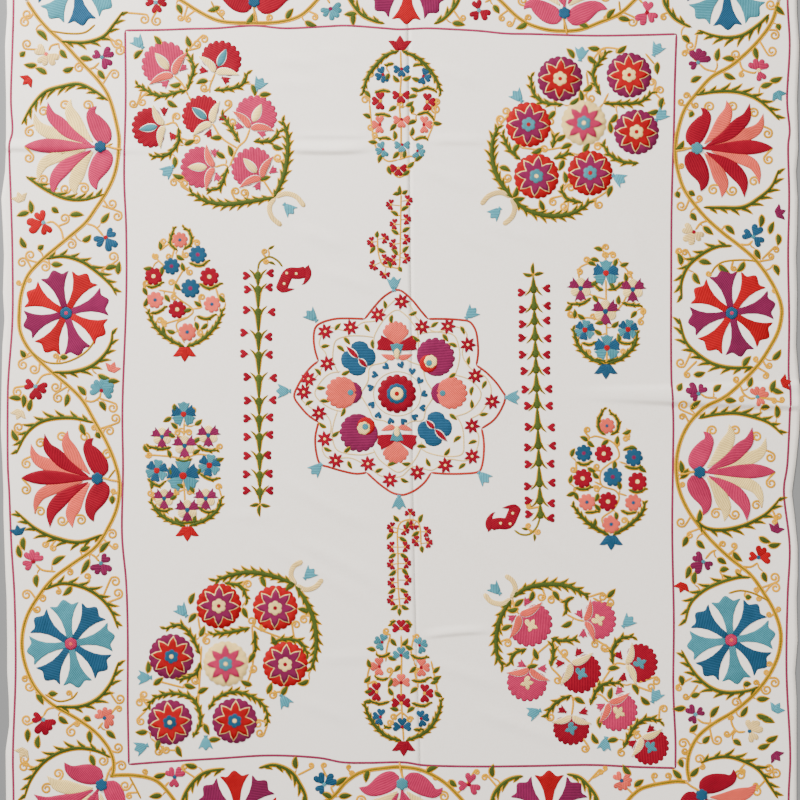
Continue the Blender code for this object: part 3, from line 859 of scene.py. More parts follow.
# Feather leaves of the border: the side of the barbs, then the rib
BORDER_FEATHERS = (
    (1, -55.5, 56.5, -58, 58.3, -61, 59.7, -64, 59.3, -67.5, 58.2, -70, 55.5, -72, 52),
    (1, -71.2, 42.2, -67, 39.5, -63.5, 38, -60, 37.8, -56.3, 38.8),
    (1, -67.5, 26.5, -64, 27, -60.5, 26, -57.5, 23.9, -55, 21.5, -53.9, 19.5),
    (-1, -66, 5, -62.5, 5, -59, 6, -56.5, 8, -55, 10.5, -54.7, 13),
    (-1, -58.3, -4.6, -62, -3.7, -66, -3.8, -69, -4.8, -71.3, -7, -73, -10.5),
    (1, -56.5, -25.8, -61, -27.3, -65.5, -26.5, -69.5, -24.6, -73.3, -21.2),
    (1, -67.7, -36.3, -64.2, -35.1, -60.1, -35.9, -56.9, -37.9, -54.8, -40.6, -53.6, -43.8),
    (-1, -65.5, -58.5, -61, -58.5, -57.5, -57, -55, -54, -53.5, -50),
    (-1, -55, -68.2, -58, -66.8, -61.5, -66.4, -65, -67.3, -68, -69.3, -70.3, -72.5, -71.5, -76),
    (1, 56, 57.6, 60, 58.3, 64, 58.2, 67.5, 57, 70, 55, 72, 52.8),
    (-1, 57.5, 36.3, 61, 36.2, 65, 36.3, 68, 38, 70.5, 40.3, 71.8, 43.4),
    (-1, 63, 29, 60, 28.8, 57, 27.3, 54.5, 25, 53.3, 22, 53.4, 18.8),
    (1, 67, 6, 63, 5.8, 59.5, 6.5, 56.5, 8.3, 54, 11, 52.9, 15.3),
    (1, 56.5, -3.8, 60, -3, 64, -2.8, 68, -3.8, 70.5, -5, 72.6, -7),
    (-1, 56, -23, 58, -24.6, 61, -25, 65, -24.2, 69, -22.2, 71, -20.3, 72.2, -18.7),
    (-1, 66.5, -34, 64, -34, 60.5, -35, 57.5, -36.5, 55, -39, 54, -42.7),
    (1, 68, -54.7, 66, -55.5, 62, -55.9, 59, -55, 56.5, -53, 54.7, -50.5, 53.3, -47.7),
    (1, 57, -69.2, 59, -68.4, 62, -68, 65, -68.8, 68, -70.5, 70, -73.3, 71.7, -76),
    (-1, -64.5, 67.8, -60, 67.6, -56.5, 68.7, -54.5, 71, -52.7, 73.5),
    (-1, -3, 71.2, -5, 71.7, -7.5, 73, -9.5, 75.5, -11.4, 79),
    (1, 6.3, 71.1, 8, 72, 9.5, 73.5, 10.8, 75.3, 12, 78.5),
    (-1, 55.3, 70.5, 54, 71, 52, 72.3, 50.7, 74, 50, 75.8, 50.6, 79),
    (1, 70, 73, 68, 71, 65, 69, 62, 68.5, 59, 69, 56.5, 70),
    (1, -33.3, -70.3, -37, -71, -39.5, -73, -41.3, -76, -42, -80),
    (-1, -27, -70.2, -24, -69.6, -21, -70.8, -19.3, -73, -18, -76, -18.4, -80),
    (1, 23.3, -71.7, 21, -72.2, 19, -73.5, 17.5, -75.8, 17, -79.5),
    (-1, 31.5, -71.3, 34, -72, 36, -74, 37.3, -76, 38.4, -79.5),
    # Ends of the border that the view cuts off, finished by the same kind of leaf
    (-1, -39.5, 76, -41, 80, -39, 85.5, -34, 89.3),
    (1, -17.5, 76.5, -15.5, 81, -17.5, 86, -22, 89.3),
    (1, 19.6, 76.5, 18.2, 81, 20.5, 86, 25, 89.3),
    (-1, 45.5, 77.5, 46, 82, 43.5, 86.5, 39, 89.5),
    (1, -14, -77.5, -13.6, -82, -10.5, -87, -6, -89.6),
    (-1, 13.5, -79, 13, -83, 10, -87.5, 6, -89.6),
    (-1, -72.3, -78, -71.5, -83, -68.5, -87, -64, -89.5),
    (1, -49, -77, -46.3, -82, -46.5, -87),
    (1, 72, -78, 71.2, -83, 68.5, -87, 64, -89.5),
    (-1, 48.5, -77, 47, -82, 48, -87),
)

# Three-petalled sprigs of the border: core, petal centres, threads of petals and core, stem
SPRIGS = (
    ((-67.3, 65.4), (-68.7, 66.3, -65.7, 64.3, -68, 64), "beige", "salmon",
     (-64.8, 67.4, -66.3, 67, -66.8, 66)),
    ((-56.7, 64.8), (-57.8, 65.3, -55.3, 65.8, -55.7, 63.4), "plum", "teal",
     (-59.3, 62.6, -58.3, 62.8, -57.2, 63.8)),
    ((-67.8, 33.4), (-68.5, 35, -70.3, 32.7, -67.2, 31.8), "scarlet", "sky",
     (-64, 30, -64.5, 32, -66, 33.5, -67.3, 33.3)),
    ((-56, 30.6), (-54.9, 31.5, -57.5, 29.8, -54.8, 28.8), "indigo", "scarlet",
     (-59.7, 33.2, -58, 32.6, -56.4, 30.8)),
    ((-69.3, 2.3), (-70.8, 2.7, -67.7, 2, -69.3, 0.3), "crimson", "sky", (-66, 4.8, -68, 4.3, -69.2, 2.6)),
    ((-56.8, 1.5), (-58.4, 1.7, -57.2, 3.1, -55.4, 2.9, -55.2, 1), "teal", "crimson",
     (-60, -0.4, -58.5, -0.6, -57.2, 0.2, -56.9, 1.2)),
    ((-69.7, -31), (-70.5, -29.5, -68.7, -30, -71, -31.7), "rose", "crimson",
     (-65.5, -32.9, -68, -32.6, -69.3, -31.5)),
    ((-56.9, -31.3), (-56, -30.3, -58, -32.5, -55.8, -32.7), "plum", "teal",
     (-58.9, -29.6, -58.2, -29.9, -57.2, -31)),
    ((-67.8, -61), (-69.3, -60.6, -66.3, -62, -68.2, -63.3), "crimson", "sky",
     (-65.5, -58.7, -67, -59, -67.8, -60.3)),
    ((-56.2, -60.7), (-57.3, -60, -55.7, -59.4, -55, -60.9, -55.4, -61.9), "salmon", "indigo",
     (-57.5, -62.8, -56.5, -61.5)),
    ((56.5, 63.8), (56, 65.8, 58, 65, 55.5, 63.3), "plum", "teal", (60, 62, 58, 62.5, 56.8, 63.5)),
    ((68, 62.3), (69, 63.5, 67, 63.6, 68.5, 61), "rose", "cream",
     (64.3, 64.3, 65, 62.5, 67, 61.8, 67.6, 62.1)),
    ((55.7, 31.6), (54.3, 32.3, 54.7, 30, 56.8, 30.8), "beige", "crimson", (58.5, 33.8, 57, 33.3, 56, 32)),
    ((67, 30.7), (65.6, 31.2, 67.8, 32.3, 68.2, 29.7), "indigo", "teal",
     (64.3, 29.3, 66, 29.2, 66.9, 30)),
    ((56.5, 0.9), (55, 2, 57.3, 1.9, 55.7, 0.3), "plum", "teal", (60, 0.1, 58, 0.2, 56.9, 0.9)),
    ((67.7, 0.3), (67.2, 1.5, 69, 1.2, 68.2, -0.7), "salmon", "teal",
     (64.5, 2.4, 65, 1, 66.3, 0, 67.3, 0.1)),
    ((57.5, -31), (56.3, -30, 56, -32.3, 58.5, -31.7), "plum", "teal",
     (60, -28.8, 59, -29.2, 57.9, -30.5)),
    ((68, -30.2), (66.8, -30, 68.5, -28.7, 69.7, -30.3), "scarlet", "indigo",
     (64.8, -31.9, 66.5, -32, 67.8, -31.2)),
    ((56, -60), (55, -59, 57, -59.5, 55.5, -61), "plum", "sky", (59.5, -61.7, 57.5, -61.6, 56.3, -60.8)),
    ((66.3, -63.2), (66.5, -61.7, 68, -62.3, 67, -64.5), "beige", "indigo",
     (62.7, -60.3, 63, -62, 64, -63.3, 65.5, -63.3)),
    ((-46.5, 75.2), (-47.8, 75.4, -46.3, 73.8, -45, 75.4), "crimson", "sky", (-43.4, 76.6, -45, 76.8)),
    ((-13.3, 74), (-11.8, 74.2, -12.6, 72.6, -14.4, 73.4), "teal", "plum", (-14.6, 77, -13.4, 75)),
    ((14.9, 73.7), (14.5, 75, 14, 72.7, 16.3, 72.8), "crimson", "sky", (17.8, 76.2, 16, 75.2)),
    ((46.8, 73.3), (47, 74.8, 45.5, 71.8, 48, 72.3), "rose", "crimson", (45, 76.2, 46, 75)),
    ((-42.9, -71.9), (-43.8, -70.9, -41.8, -70.9, -43, -73.2), "rose", "indigo", (-45, -74, -44, -72.8)),
    ((-14.5, -73.3), (-15.5, -71.9, -12.9, -72.3, -15.3, -74.3), "indigo", "sky",
     (-12.5, -75.5, -13.3, -73.7)),
    ((13, -73.3), (13.3, -71.8, 14.3, -74.3, 11.6, -73.5), "rose", "crimson", (10.5, -75, 11.5, -74.5)),
    ((42, -72.6), (41.2, -71.7, 43.2, -72.1, 41.4, -73.7, 42.9, -73.5), "salmon", "indigo",
     (44.2, -75.2, 43, -74)),
)

# Single buds of the border: place, thread, the way each points
BUDS = (
    ((-70.3, 61), "scarlet", 225), ((-72, 37.3), "beige", 110), ((-55, 5), "salmon", 70),
    ((-72.2, -2.1), "beige", -110), ((-72.5, -26), "indigo", 100), ((-71.3, -66.5), "beige", -120),
    ((71.3, 58.3), "teal", -60), ((71.2, 35), "plum", 20), ((72.2, 2.8), "scarlet", 15),
    ((53.8, -35), "scarlet", -110), ((71, -25.5), "plum", 70), ((71, -59.6), "sky", 60),
    ((70.8, -67.3), "plum", -50),
)

# Leaves by their middle, or by base and tip; tendrils by their middle and, where it differs, radius
BORDER_LEAVES = (
    (-70.3, 63.4), (-68.3, 62.2), (-69.3, 70, -67, 67.8), (-72.3, 64.8, -71.2, 66),
    (-64.7, 66.4, -63.2, 64.5), (-64.3, 62.2, -62, 63), (-59.7, 64.5), (-57.5, 62.5, -56, 60.5),
    (-70.3, 36.4), (-71.7, 35), (-66.3, 36.4, -64.8, 35.2), (-63, 34.8, -60, 34.8),
    (-60.6, 29.8, -58.7, 31.2), (-57, 33.2, -55.2, 35.4), (-71, 28.5, -72.2, 30.8), (-69, 28.3, -67.7, 29.2),
    (-54.9, 24.8), (-53.5, 24.8), (-66.5, 25.5, -64, 25.4), (-56.3, 4.2), (-54.6, 3.2), (-71.7, -0.5),
    (-70.3, -1.2), (-71.2, 7.6, -72.3, 9.3), (-73.2, 0), (-63.5, -0.3), (-59.7, 0.5, -61.5, 2.5),
    (-57.3, -0.5, -56, -2.5), (-73.2, -7), (-60.3, -5.9), (-57.9, -6.3, -57, -7.7),
    (-54.8, -18.3, -54.8, -20.2), (-64.8, 7.9, -63, 7.9), (-71.5, -27.6), (-72.4, -29),
    (-66.3, -31.7, -63.5, -29.8), (-69, -33.3, -69, -36), (-61, -29, -58.8, -28.1), (-57.2, -29.4, -55, -27),
    (-59, -30.3, -60.8, -33.5), (-63.3, -36.5), (-70.8, -64), (-68.7, -65.2), (-69.3, -56, -67.8, -58.3),
    (-65, -60.3, -63, -61.8), (-60.3, -60.6, -58.7, -61.3), (-56, -63, -54, -64.7), (-59, -64.3),
    (-67, -56, -65, -56), (-58.5, -68.8), (69.5, 59.5), (53.3, 69, 55, 67.3), (60.3, 65.3), (62.3, 64.5),
    (67.5, 65.5), (71.3, 71.2, 72, 69.8), (72, 73.7), (62.5, 61.2), (55, 60, 57.3, 61.2), (71.3, 60.7),
    (68.4, 33.7), (70.5, 32.4), (52.5, 39.5, 53, 38), (54.6, 39.4, 56, 38.5), (55, 35.3, 56.3, 33.7),
    (57.3, 32.8, 59.5, 31), (52.9, 26.5), (61.5, 32.9, 63.5, 31), (71.6, 31.4, 71.6, 28.9),
    (67.3, 28.5, 68.4, 26.3), (70.8, 25.5, 71.8, 23.2), (57.8, 25.8), (56.3, 22.8), (61.4, 24.7), (64.5, 25),
    (55.5, 54.7, 54.8, 53.3), (53, 48), (70.8, 2.3), (71.5, 1.5), (55.5, 4.5, 58, 5), (52.6, 1.3, 53.5, 3),
    (59.3, 1.2, 61, 2.7), (55, -2.2, 57, -0.3), (66, 2, 66.8, 4.2), (70.5, 7.2, 72.3, 9.4),
    (61.3, -0.3, 63.8, -0.5), (68.3, -1.9, 70.2, -1.7), (71.3, -2.5), (65.8, 7), (53.3, -13), (53.8, -14.3),
    (54.5, -33), (56, -34), (69.2, -26.8), (71, -27.7), (54.5, -26, 53.5, -28.3), (56.2, -26.8, 57.9, -28.6),
    (60, -30.3, 62, -31.5), (63, -29, 65, -31), (60.5, -32.8, 62.5, -32.4), (68.8, -32.8, 69.6, -35),
    (56.7, -22.3), (65.3, -37.7, 66.8, -37.7), (68.8, -60.3), (69.8, -61.3), (70.5, -64.5), (69, -66),
    (53, -52.5, 53.5, -54.7), (55, -56.6, 57, -56), (52.9, -58.8), (58.8, -60.7, 60.6, -58.3),
    (54.8, -63.4, 56.5, -61.8), (64.5, -60.6, 66, -58.3), (57.3, -65.6, 58.8, -64), (63, -64.8, 64.8, -66),
    (68.8, -57), (53, -68.3, 53.7, -70.2), (55.8, -70.9), (65, -54.5, 66.7, -54.2), (-42.6, 75, -41.5, 72.8),
    (-28.7, 72.1), (-35.5, 74), (-21, 73), (-17, 71.2), (-9.5, 73), (-9, 72), (17.5, 74.8, 18.8, 73),
    (11, 71.1), (23, 70.8), (34.7, 70.8), (40, 73), (42.5, 72), (-45.7, -71.5), (-39.8, -69.7),
    (-46.5, -75.5), (-19.8, -69.1), (-12.5, -73.5, -10, -71.8), (-10.5, -75.5), (-6.3, -71.7), (-14, -75.5),
    (6, -70.5), (9.3, -72.3, 10.8, -73.8), (17.6, -70.7), (43, -70.5), (44.3, -73.8, 46.3, -72.3),
    (52.5, -71.3), (-50, 78.5), (-56, 88.5), (-69, 86.5), (-12.5, 84), (14, 84), (49.5, 84), (69.5, 86),
    (-31, 89.5), (-37, -88), (-24, -88), (18, -87), (38, -86), (4, -88.6), (-59, -88.5), (58, -88.5),
    (-50, -83), (50.5, -83),
)
BORDER_CURLS = (
    (-70.9, 73), (-71.3, 71.5), (-70.9, 67.3), (-61, 62.8), (-54.3, 61.5), (-53.7, 67.5), (-53.4, 66.1),
    (-63.8, 34.2), (-62.5, 29.3), (-54.8, 37), (-53.8, 34.6), (-54.6, 26.9, 1), (-70.3, 27.2), (-71.8, 25.8),
    (-67.5, 25), (-70.5, 22.5, 0.45), (-72.5, 22, 0.45), (-71.7, 6.4), (-69.6, 5.6), (-72.7, 1.2),
    (-65.5, 2.2), (-65, 0.1), (-54.7, -1.8), (-54.2, -3.8), (-72.5, -5.5), (-58.2, -5.6, 0.5), (-55.3, -6.2),
    (-65.5, 8, 0.5), (-54.5, -17.6, 0.5), (-55.7, -10.6), (-67.5, -27.7, 0.6), (-65.9, -28.4, 0.6),
    (-54.8, -25.8), (-54.2, -28, 0.6), (-62.8, -33, 0.6), (-59.5, -33.8, 0.6), (-54.2, -34.8, 1),
    (-53.7, -37), (-65, -36.7, 0.5), (-71, -37.3), (-68, -38, 0.7), (-69, -40, 0.7), (-71, -61),
    (-71.3, -53.3, 0.6), (-70.5, -54.7), (-62.5, -63.3), (-61.5, -61.8, 0.5), (-53.3, -57), (-53.5, -59, 0.6),
    (-53.7, -66.3), (-56.5, -68.8), (-63, -56, 0.5), (-71.3, -68.5), (-71.5, -70), (55, 67), (54, 65.5, 0.6),
    (63.7, 65.3), (70.5, 66, 1), (71, 69), (64.8, 61.5, 0.5), (70.3, 74.8), (54.3, 57.5, 0.6),
    (53.3, 56.3, 0.6), (56, 55.7, 0.6), (53.3, 36.6), (56.7, 38, 0.6), (52.9, 28, 0.6), (54, 27.7, 0.6),
    (71.3, 28.2, 0.6), (70.3, 27, 0.6), (58.5, 23.7, 0.5), (63.3, 24.7, 0.5), (71, 20.5, 0.5),
    (53.3, 44.2, 0.5), (53.2, 6.8), (54.5, 4.5, 0.6), (53.7, -1.3), (53.5, -3.5, 0.6), (63.8, 3.6, 0.6),
    (70, 6.3, 0.6), (69.3, 4.3, 0.6), (64.7, -0.2, 0.5), (70.8, -0.5, 0.5), (72.3, -0.2, 0.5),
    (67.5, 7.5, 0.5), (53.5, -16.3, 0.5), (53.3, -23.5), (55, -26, 0.6), (61.2, -27.7, 0.6), (63.3, -28, 0.6),
    (64, -32.8, 0.5), (71, -34), (71.2, -36), (71.8, -22.3, 0.6), (71, -23.4, 0.5), (67.5, -36.4, 0.5),
    (68, -38, 0.5), (71.7, -40, 0.5), (70, -41, 0.5), (70, -50.5, 0.5), (69.5, -52, 0.5), (52.9, -55, 0.6),
    (54.2, -56.6, 0.6), (63.7, -57.7), (62.8, -60.7, 0.5), (60.2, -64.8), (62, -63.7, 0.6), (69.5, -55.3),
    (71, -54), (69.9, -70.3), (71.3, -71.3), (53.7, -65.5), (54, -67, 0.6), (56.7, -68.5), (57.3, -70, 0.5),
    (67.5, -54, 0.5), (-48.7, 72), (-46.3, 71.7), (-41.8, 72.3, 0.6), (-40.3, 72, 0.6), (-24.8, 72.3, 0.6),
    (-34, 73.3, 0.6), (-16.3, 72.4, 0.6), (19.3, 72.2, 0.6), (20.7, 71.2, 0.6), (11.8, 72.3, 0.6),
    (24.3, 72.3, 0.6), (39, 72.2, 0.6), (44, 71.5), (50, 72.4, 0.6), (-52.3, -73.5), (-51.5, -75.5, 0.6),
    (-53, -69.8), (-48.6, -70.9, 0.5), (-41, -70, 0.6), (-17, -69.7, 0.5), (-14.5, -69.7, 0.5),
    (-9.3, -71.2, 0.5), (-9.8, -70, 0.4), (6.7, -72, 0.5), (14.5, -71, 0.5), (16, -72, 0.6), (38, -71, 0.5),
    (38.8, -70.2, 0.4), (48.3, -71.7, 0.6), (50.8, -71.7, 0.6), (67.5, -73.5, 0.6), (65, -70.8, 0.6),
    (-50.5, 83), (-47, 85.5), (-14, 88.5), (15.5, 88), (50, 89), (-55, -86), (-51.5, -88.5), (-39, -89),
    (-20, -86.5), (16, -83.5), (41.5, -85), (54, -87),
)

# Carnations of two corners: neck, way it faces, reach, threads of fan, sepals and lozenge, tufts
CARNATIONS_TOP_LEFT = (
    ((-43, 61.3), 130, 7, "rose", "salmon", "cream", (-41.3, 62.8, -44.7, 59.8)),
    ((-35.2, 61.8), 65, 6.3, "crimson", "cream", "teal", (-37.5, 62.3, -33.2, 60.5)),
    ((-44.8, 51.9), 190, 6.2, "crimson", "cream", "teal", (-44.9, 54.6, -43.3, 49.8)),
    ((-35.7, 52.2), 142, 6.2, "crimson", "cream", "teal", (-33.7, 53.3, -36.4, 50.3)),
    ((-28.6, 51.2), 65, 6.5, "rose", "salmon", "cream", (-30.7, 51.7, -26.3, 50.3)),
    ((-35.3, 43.9), 180, 6.4, "rose", "salmon", "cream", (-35.3, 46.7, -34.8, 42)),
    ((-26.3, 41.8), 133, 6.5, "rose", "salmon", "cream", (-24.2, 43.3, -27.1, 40.3)),
)
CARNATIONS_BOTTOM_RIGHT = (
    ((22.5, -41), -42, 6.9, "rose", "salmon", "cream", (24, -38.6, 21.2, -41.7)),
    ((34.9, -42.3), 5, 6, "rose", "salmon", "cream", (34, -40.9, 34.7, -44.7)),
    ((24.5, -51.3), -100, 6.2, "rose", "salmon", "cream", (23, -50.5, 27, -51.3)),
    ((32.3, -50.2), -45, 6.4, "crimson", "cream", "teal", (33.8, -48.2, 30.2, -50.3)),
    ((42.8, -50.5), 5, 6, "crimson", "cream", "teal", (41.5, -48.8, 42.3, -53)),
    ((39.5, -57.7), -45, 6.1, "rose", "salmon", "cream", (41.5, -55.5, 38, -58.5)),
    ((32.5, -60.2), -92, 5.6, "crimson", "cream", "teal", (30.7, -59.2, 34.8, -59.5)),
    ((45.8, -64.3), -48, 5.8, "crimson", "cream", "teal", (47.5, -62.8, 44, -65.5)),
)
# Star rosettes of the other two corner sprays: place, rim, star, ring, dot
ROSETTES_TOP_RIGHT = (
    ((30.3, 60.7), "plum", "scarlet", "cream", "scarlet"),
    ((43.4, 61.4), "plum", "scarlet", "cream", "scarlet"),
    ((24.3, 52), "scarlet", "plum", "teal", "scarlet"),
    ((34.8, 52.3), "cream", "rose", "teal", "cream"),
    ((44.8, 50.6), "plum", "scarlet", "cream", "scarlet"),
    ((25.8, 42.2), "scarlet", "plum", "teal", "cream"),
    ((36, 42.8), "scarlet", "plum", "teal", "scarlet"),
)
ROSETTES_BOTTOM_LEFT = (
    ((-34.5, -39.4), "scarlet", "plum", "cream", "crimson"),
    ((-23.8, -39.8), "scarlet", "plum", "cream", "crimson"),
    ((-43.5, -49), "plum", "scarlet", "indigo", "cream"),
    ((-33.2, -50.4), "cream", "rose", "teal", "cream"),
    ((-21.9, -50.5), "scarlet", "plum", "cream", "crimson"),
    ((-43.8, -61.5), "plum", "scarlet", "indigo", "cream"),
    ((-31.5, -61.2), "plum", "scarlet", "indigo", "cream"),
)

CornerSpray = namedtuple("CornerSpray", "horns horn_tuft tufts feathers stems leaves curls")
TOP_LEFT = CornerSpray(
    ((-23.8, 38.3, -21.8, 38.9, -19.8, 38.3, -18.2, 36.4),
     (-23.9, 38.2, -24.9, 36.4, -24.4, 34.4, -22.6, 32.8)), ((-21.2, 36), -45),
    ((-49.8, 67.6, 130), (-26.8, 59.7, 60), (-44.2, 43.2, 220)),
    ((-24, 38.2, -22.3, 42, -21.5, 46, -21.5, 50, -22.5, 53),
     (-24, 38.2, -28, 37.5, -33, 36.9, -37, 37.5, -40, 39.3),
     (-40.5, 58.5, -42, 58.3, -46, 57.5, -50.3, 59.8), (-40.5, 58.5, -40, 60.3, -39.3, 63, -40.8, 66),
     (-35.5, 58.5, -32.5, 58.8, -30, 59.7, -29, 62), (-42.2, 51.5, -42.3, 48.5, -44.5, 46.2, -47.5, 46),
     (-30.5, 48.5, -32, 51, -34, 54), (-28, 48.8, -24.5, 49, -22.8, 51),
     (-32.8, 44, -33.5, 42, -34.5, 40, -37, 39.5)),
    ((-43, 61.3, -41.5, 59.8, -40.3, 57.5), (-35.2, 61.8, -36.2, 59.3, -36.2, 58),
     (-44.8, 51.9, -43, 52.4, -42.2, 51.5), (-40.3, 57.5, -39.8, 56.5), (-35.7, 52.2, -34, 49.5, -31, 47.5),
     (-28.6, 51.2, -29.5, 49, -31, 47.5, -32.5, 44), (-35.3, 43.9, -33.5, 44.4, -32.6, 43.8),
     (-26.3, 41.8, -25, 39.8, -24, 38.2)),
    (-46.2, 67.9, -40.2, 67.8, -49.7, 65.3, -43.3, 56, -28, 58.5, -25.7, 57.7, -43, 44.8, -42.2, 42.3,
     -35, 49.5, -34.3, 46.3, -32.4, 47, -23.3, 47.8, -25.8, 41.8, -37.7, 60, -42.8, 59.7, -40, 48.6),
    (-37.3, 68.2, -38.7, 67.3, -37.3, 59, -49, 56.3, -50.8, 56, -32.8, 56, -42.5, 53.5, -38.8, 49.3,
     -41, 40.8, -43, 41, -31.3, 39.3, -29.7, 39, -23.3, 45.7, -32, 52.5))
TOP_RIGHT = CornerSpray(
    ((21, 38.3, 19, 39.1, 16.8, 38.5, 15.3, 36.8), (21.1, 38.1, 21.7, 36.2, 21.1, 34.4, 19.5, 33)),
     ((18, 35.2), 225),
    ((34.3, 65.5, 80), (48.7, 66.3, 60), (22.2, 57.4, 130), (49.5, 53.8, 45), (41.5, 41.7, -30)),
    ((21.3, 38, 18.7, 41.5, 17.5, 45, 17.5, 49, 18.7, 51.7),
     (21.3, 37.9, 24, 35.8, 28, 34.7, 32, 35, 35, 36.5, 36, 37.5), (31, 55.8, 27, 56.3, 25, 58.5, 24.8, 61.5),
     (38, 57.5, 36.5, 61.5, 37.8, 64, 39.5, 66), (38.5, 56, 42, 56, 45.5, 56.3, 48, 58.3),
     (22.8, 45.3, 20.5, 47.5, 19.3, 50.5), (45.3, 44.7, 42, 45, 39.5, 46.5, 38.3, 48.8),
     (34.5, 37.2, 31.5, 38, 30.3, 40.3), (28.8, 47.5, 29.3, 50), (29, 45.5, 32.5, 46.7)),
    ((36, 37.5, 38, 38.5, 40, 40), (38.5, 56, 37.2, 54.5), (38.5, 56, 39.5, 58),
     (22.8, 47.6, 27.5, 47.2, 32, 48), (36.5, 64.3, 38.5, 66.5, 42, 66.3), (46.5, 65.5, 48.2, 63.5),
     (48, 58.3, 50.3, 56), (33, 56.5, 35.5, 58.2, 35.3, 62)),
    (32.2, 65.5, 36.7, 66.5, 36.5, 64.3, 42, 66.3, 48.8, 62.7, 49.7, 56, 47.9, 54.5, 35.5, 59, 34.3, 57.5,
     33, 56.5, 28.7, 53.7, 30.5, 49.5, 31.5, 47.8, 35.3, 47.7, 40.3, 53.2, 39.8, 51.5, 19.8, 43.5, 22, 47.3,
     25.8, 47.1, 31.2, 42, 30.5, 44.3, 21.7, 39.2, 22.5, 38, 26.8, 36.7, 39.8, 39.3),
    (38.5, 65.8, 47.7, 60, 49.3, 58.5, 20, 54.5, 19, 53, 36.2, 57, 28.5, 52.5, 37.5, 47.8, 27.3, 47.3,
     20.3, 41.9, 32.3, 40, 29, 37.3, 31, 36.5, 37.7, 36.8))
BOTTOM_LEFT = CornerSpray(
    ((-19.9, -35.4, -20.8, -33.6, -20.3, -31.9, -18.6, -30.9),
     (-19.8, -35.5, -18, -36.3, -16.2, -35.8, -14.8, -34.3)), ((-17.3, -33.3), 45),
    ((-41.5, -40.3, 130), (-48.7, -53, 180), (-22, -57.5, -60), (-49.3, -66.3, 200), (-37, -65.5, -90)),
    ((-20, -35.3, -24, -33.8, -28.5, -33, -32, -33.5, -35.5, -34.7), (-20, -35.5, -18, -38.5, -16.5, -42,
     -16, -46, -16.3, -49, -17, -51.5), (-33.5, -35, -30.3, -35.7, -29, -38.5),
     (-38, -48.7, -39.8, -45, -42, -43, -45, -43.8), (-28.5, -43.5, -32, -44.3, -36, -44.8),
     (-27.7, -44, -27.5, -48.3), (-24.8, -46.5, -22, -45.7, -19, -46.3, -17.5, -49), (-39.5, -64.5,
     -38, -61.5, -38.5, -58.5, -40, -56.7, -43.5, -56, -46.8, -57, -48.3, -59.2), (-36.5, -59.2, -35, -57,
     -31.5, -55.7, -27.5, -57, -25.5, -59.3, -25.3, -62), (-38, -50, -39, -52.3, -42.3, -53.5)),
    ((-28.2, -43, -28, -50, -29.5, -55.2), (-37.8, -47, -38.3, -56, -38.5, -58),
     (-22.5, -45.5, -26.5, -44, -28.2, -43), (-38.5, -41.5, -37.5, -44.5, -33, -45), (-46, -53.7, -41, -55),
     (-25, -56, -22.3, -55.6), (-47.5, -64.5, -44.5, -66.6, -41.5, -66.8)),
    (-39.5, -38, -39.5, -41.7, -37.7, -44.2, -29.5, -40.7, -18.5, -40.3, -26, -34.8, -21, -36, -24, -46,
     -48, -51, -46, -53.7, -40, -54.6, -37.5, -55.5, -29.3, -54, -28.2, -49.3, -24.9, -55, -22, -55.5,
     -18.5, -53.8, -49.2, -63.3, -46, -65.8, -42, -67, -36.8, -62.8, -35.3, -64.8),
    (-29, -35.3, -28.3, -42.3, -26, -43.5, -36.8, -46, -19.8, -43, -18.3, -42, -39, -53.5, -28, -51.3,
     -48.7, -56.3, -49.5, -57.8, -46, -67, -44.5, -66.7, -24.3, -56.3, -27, -61.8, -26.7, -63.5,
     -49.3, -61.3))
BOTTOM_RIGHT = CornerSpray(
    ((21, -38, 21.8, -36.3, 21.3, -34.7, 19.9, -33.6), (21, -38.1, 19.2, -39, 17.2, -38.6, 15.9, -37.1)),
     ((18, -36.2), 135),
    ((43.2, -42.4, 45), (48.5, -56.5, 60), (25.3, -59.7, 200), (38.8, -65.7, -100)),
    ((21.3, -37.8, 24, -36, 28, -35.3, 32, -35.7, 35.8, -37.7),
     (21, -38.2, 19, -41.5, 18.2, -45, 18.3, -48.5, 19.5, -51), (33, -37.7, 31.5, -38.5, 31.5, -41),
     (28.5, -45.5, 30.5, -46, 33.7, -45.7), (28.5, -51, 29, -48.5, 28.8, -46),
     (24, -47.5, 21.5, -48.5, 20.7, -50.5), (40.3, -50.5, 40.3, -47.5, 42, -45.5, 44.5, -45.3),
     (36, -58.3, 37.5, -55, 39.5, -54, 42, -54.2), (32.5, -56.3, 29.5, -57.8, 27.3, -60.7),
     (42.3, -66.5, 44.3, -62.5, 47, -60.8, 49.8, -61.5)),
    ((22.5, -41, 21.5, -39.5, 21.3, -38), (31.5, -41, 33.5, -42, 34.9, -42.3),
     (24.5, -51.3, 25.5, -49, 28.5, -46.3), (32.3, -50.2, 30.5, -48.5, 28.8, -46),
     (42.8, -50.5, 41, -50.3, 40, -51.3, 37.5, -55), (39.5, -57.7, 38, -56.3, 36.5, -56.2),
     (32.5, -60.2, 32.8, -57.8, 32.5, -56.3), (45.8, -64.3, 44.6, -63.2, 42.9, -62.8)),
    (21.2, -40, 22.5, -38.8, 24.7, -37.6, 29.5, -37.5, 31.5, -42.8, 20.2, -43.5, 25.7, -48.5, 25, -51,
     34, -57.4, 40.5, -51.3, 37.9, -55, 40, -56, 44.5, -55.3, 46.5, -57.3, 37, -64.5, 40.2, -65, 38, -61.5,
     40, -37),
    (26.7, -37.7, 28.7, -38.3, 38.3, -37.7, 39.8, -38.7, 20.3, -46.5, 37, -46.7, 38.8, -47.3, 31, -48.3,
     29.8, -53.5, 28.5, -60.5, 48.5, -53.7, 47.5, -54.8, 50, -59, 45, -64, 35, -66.5, 42, -67.3))

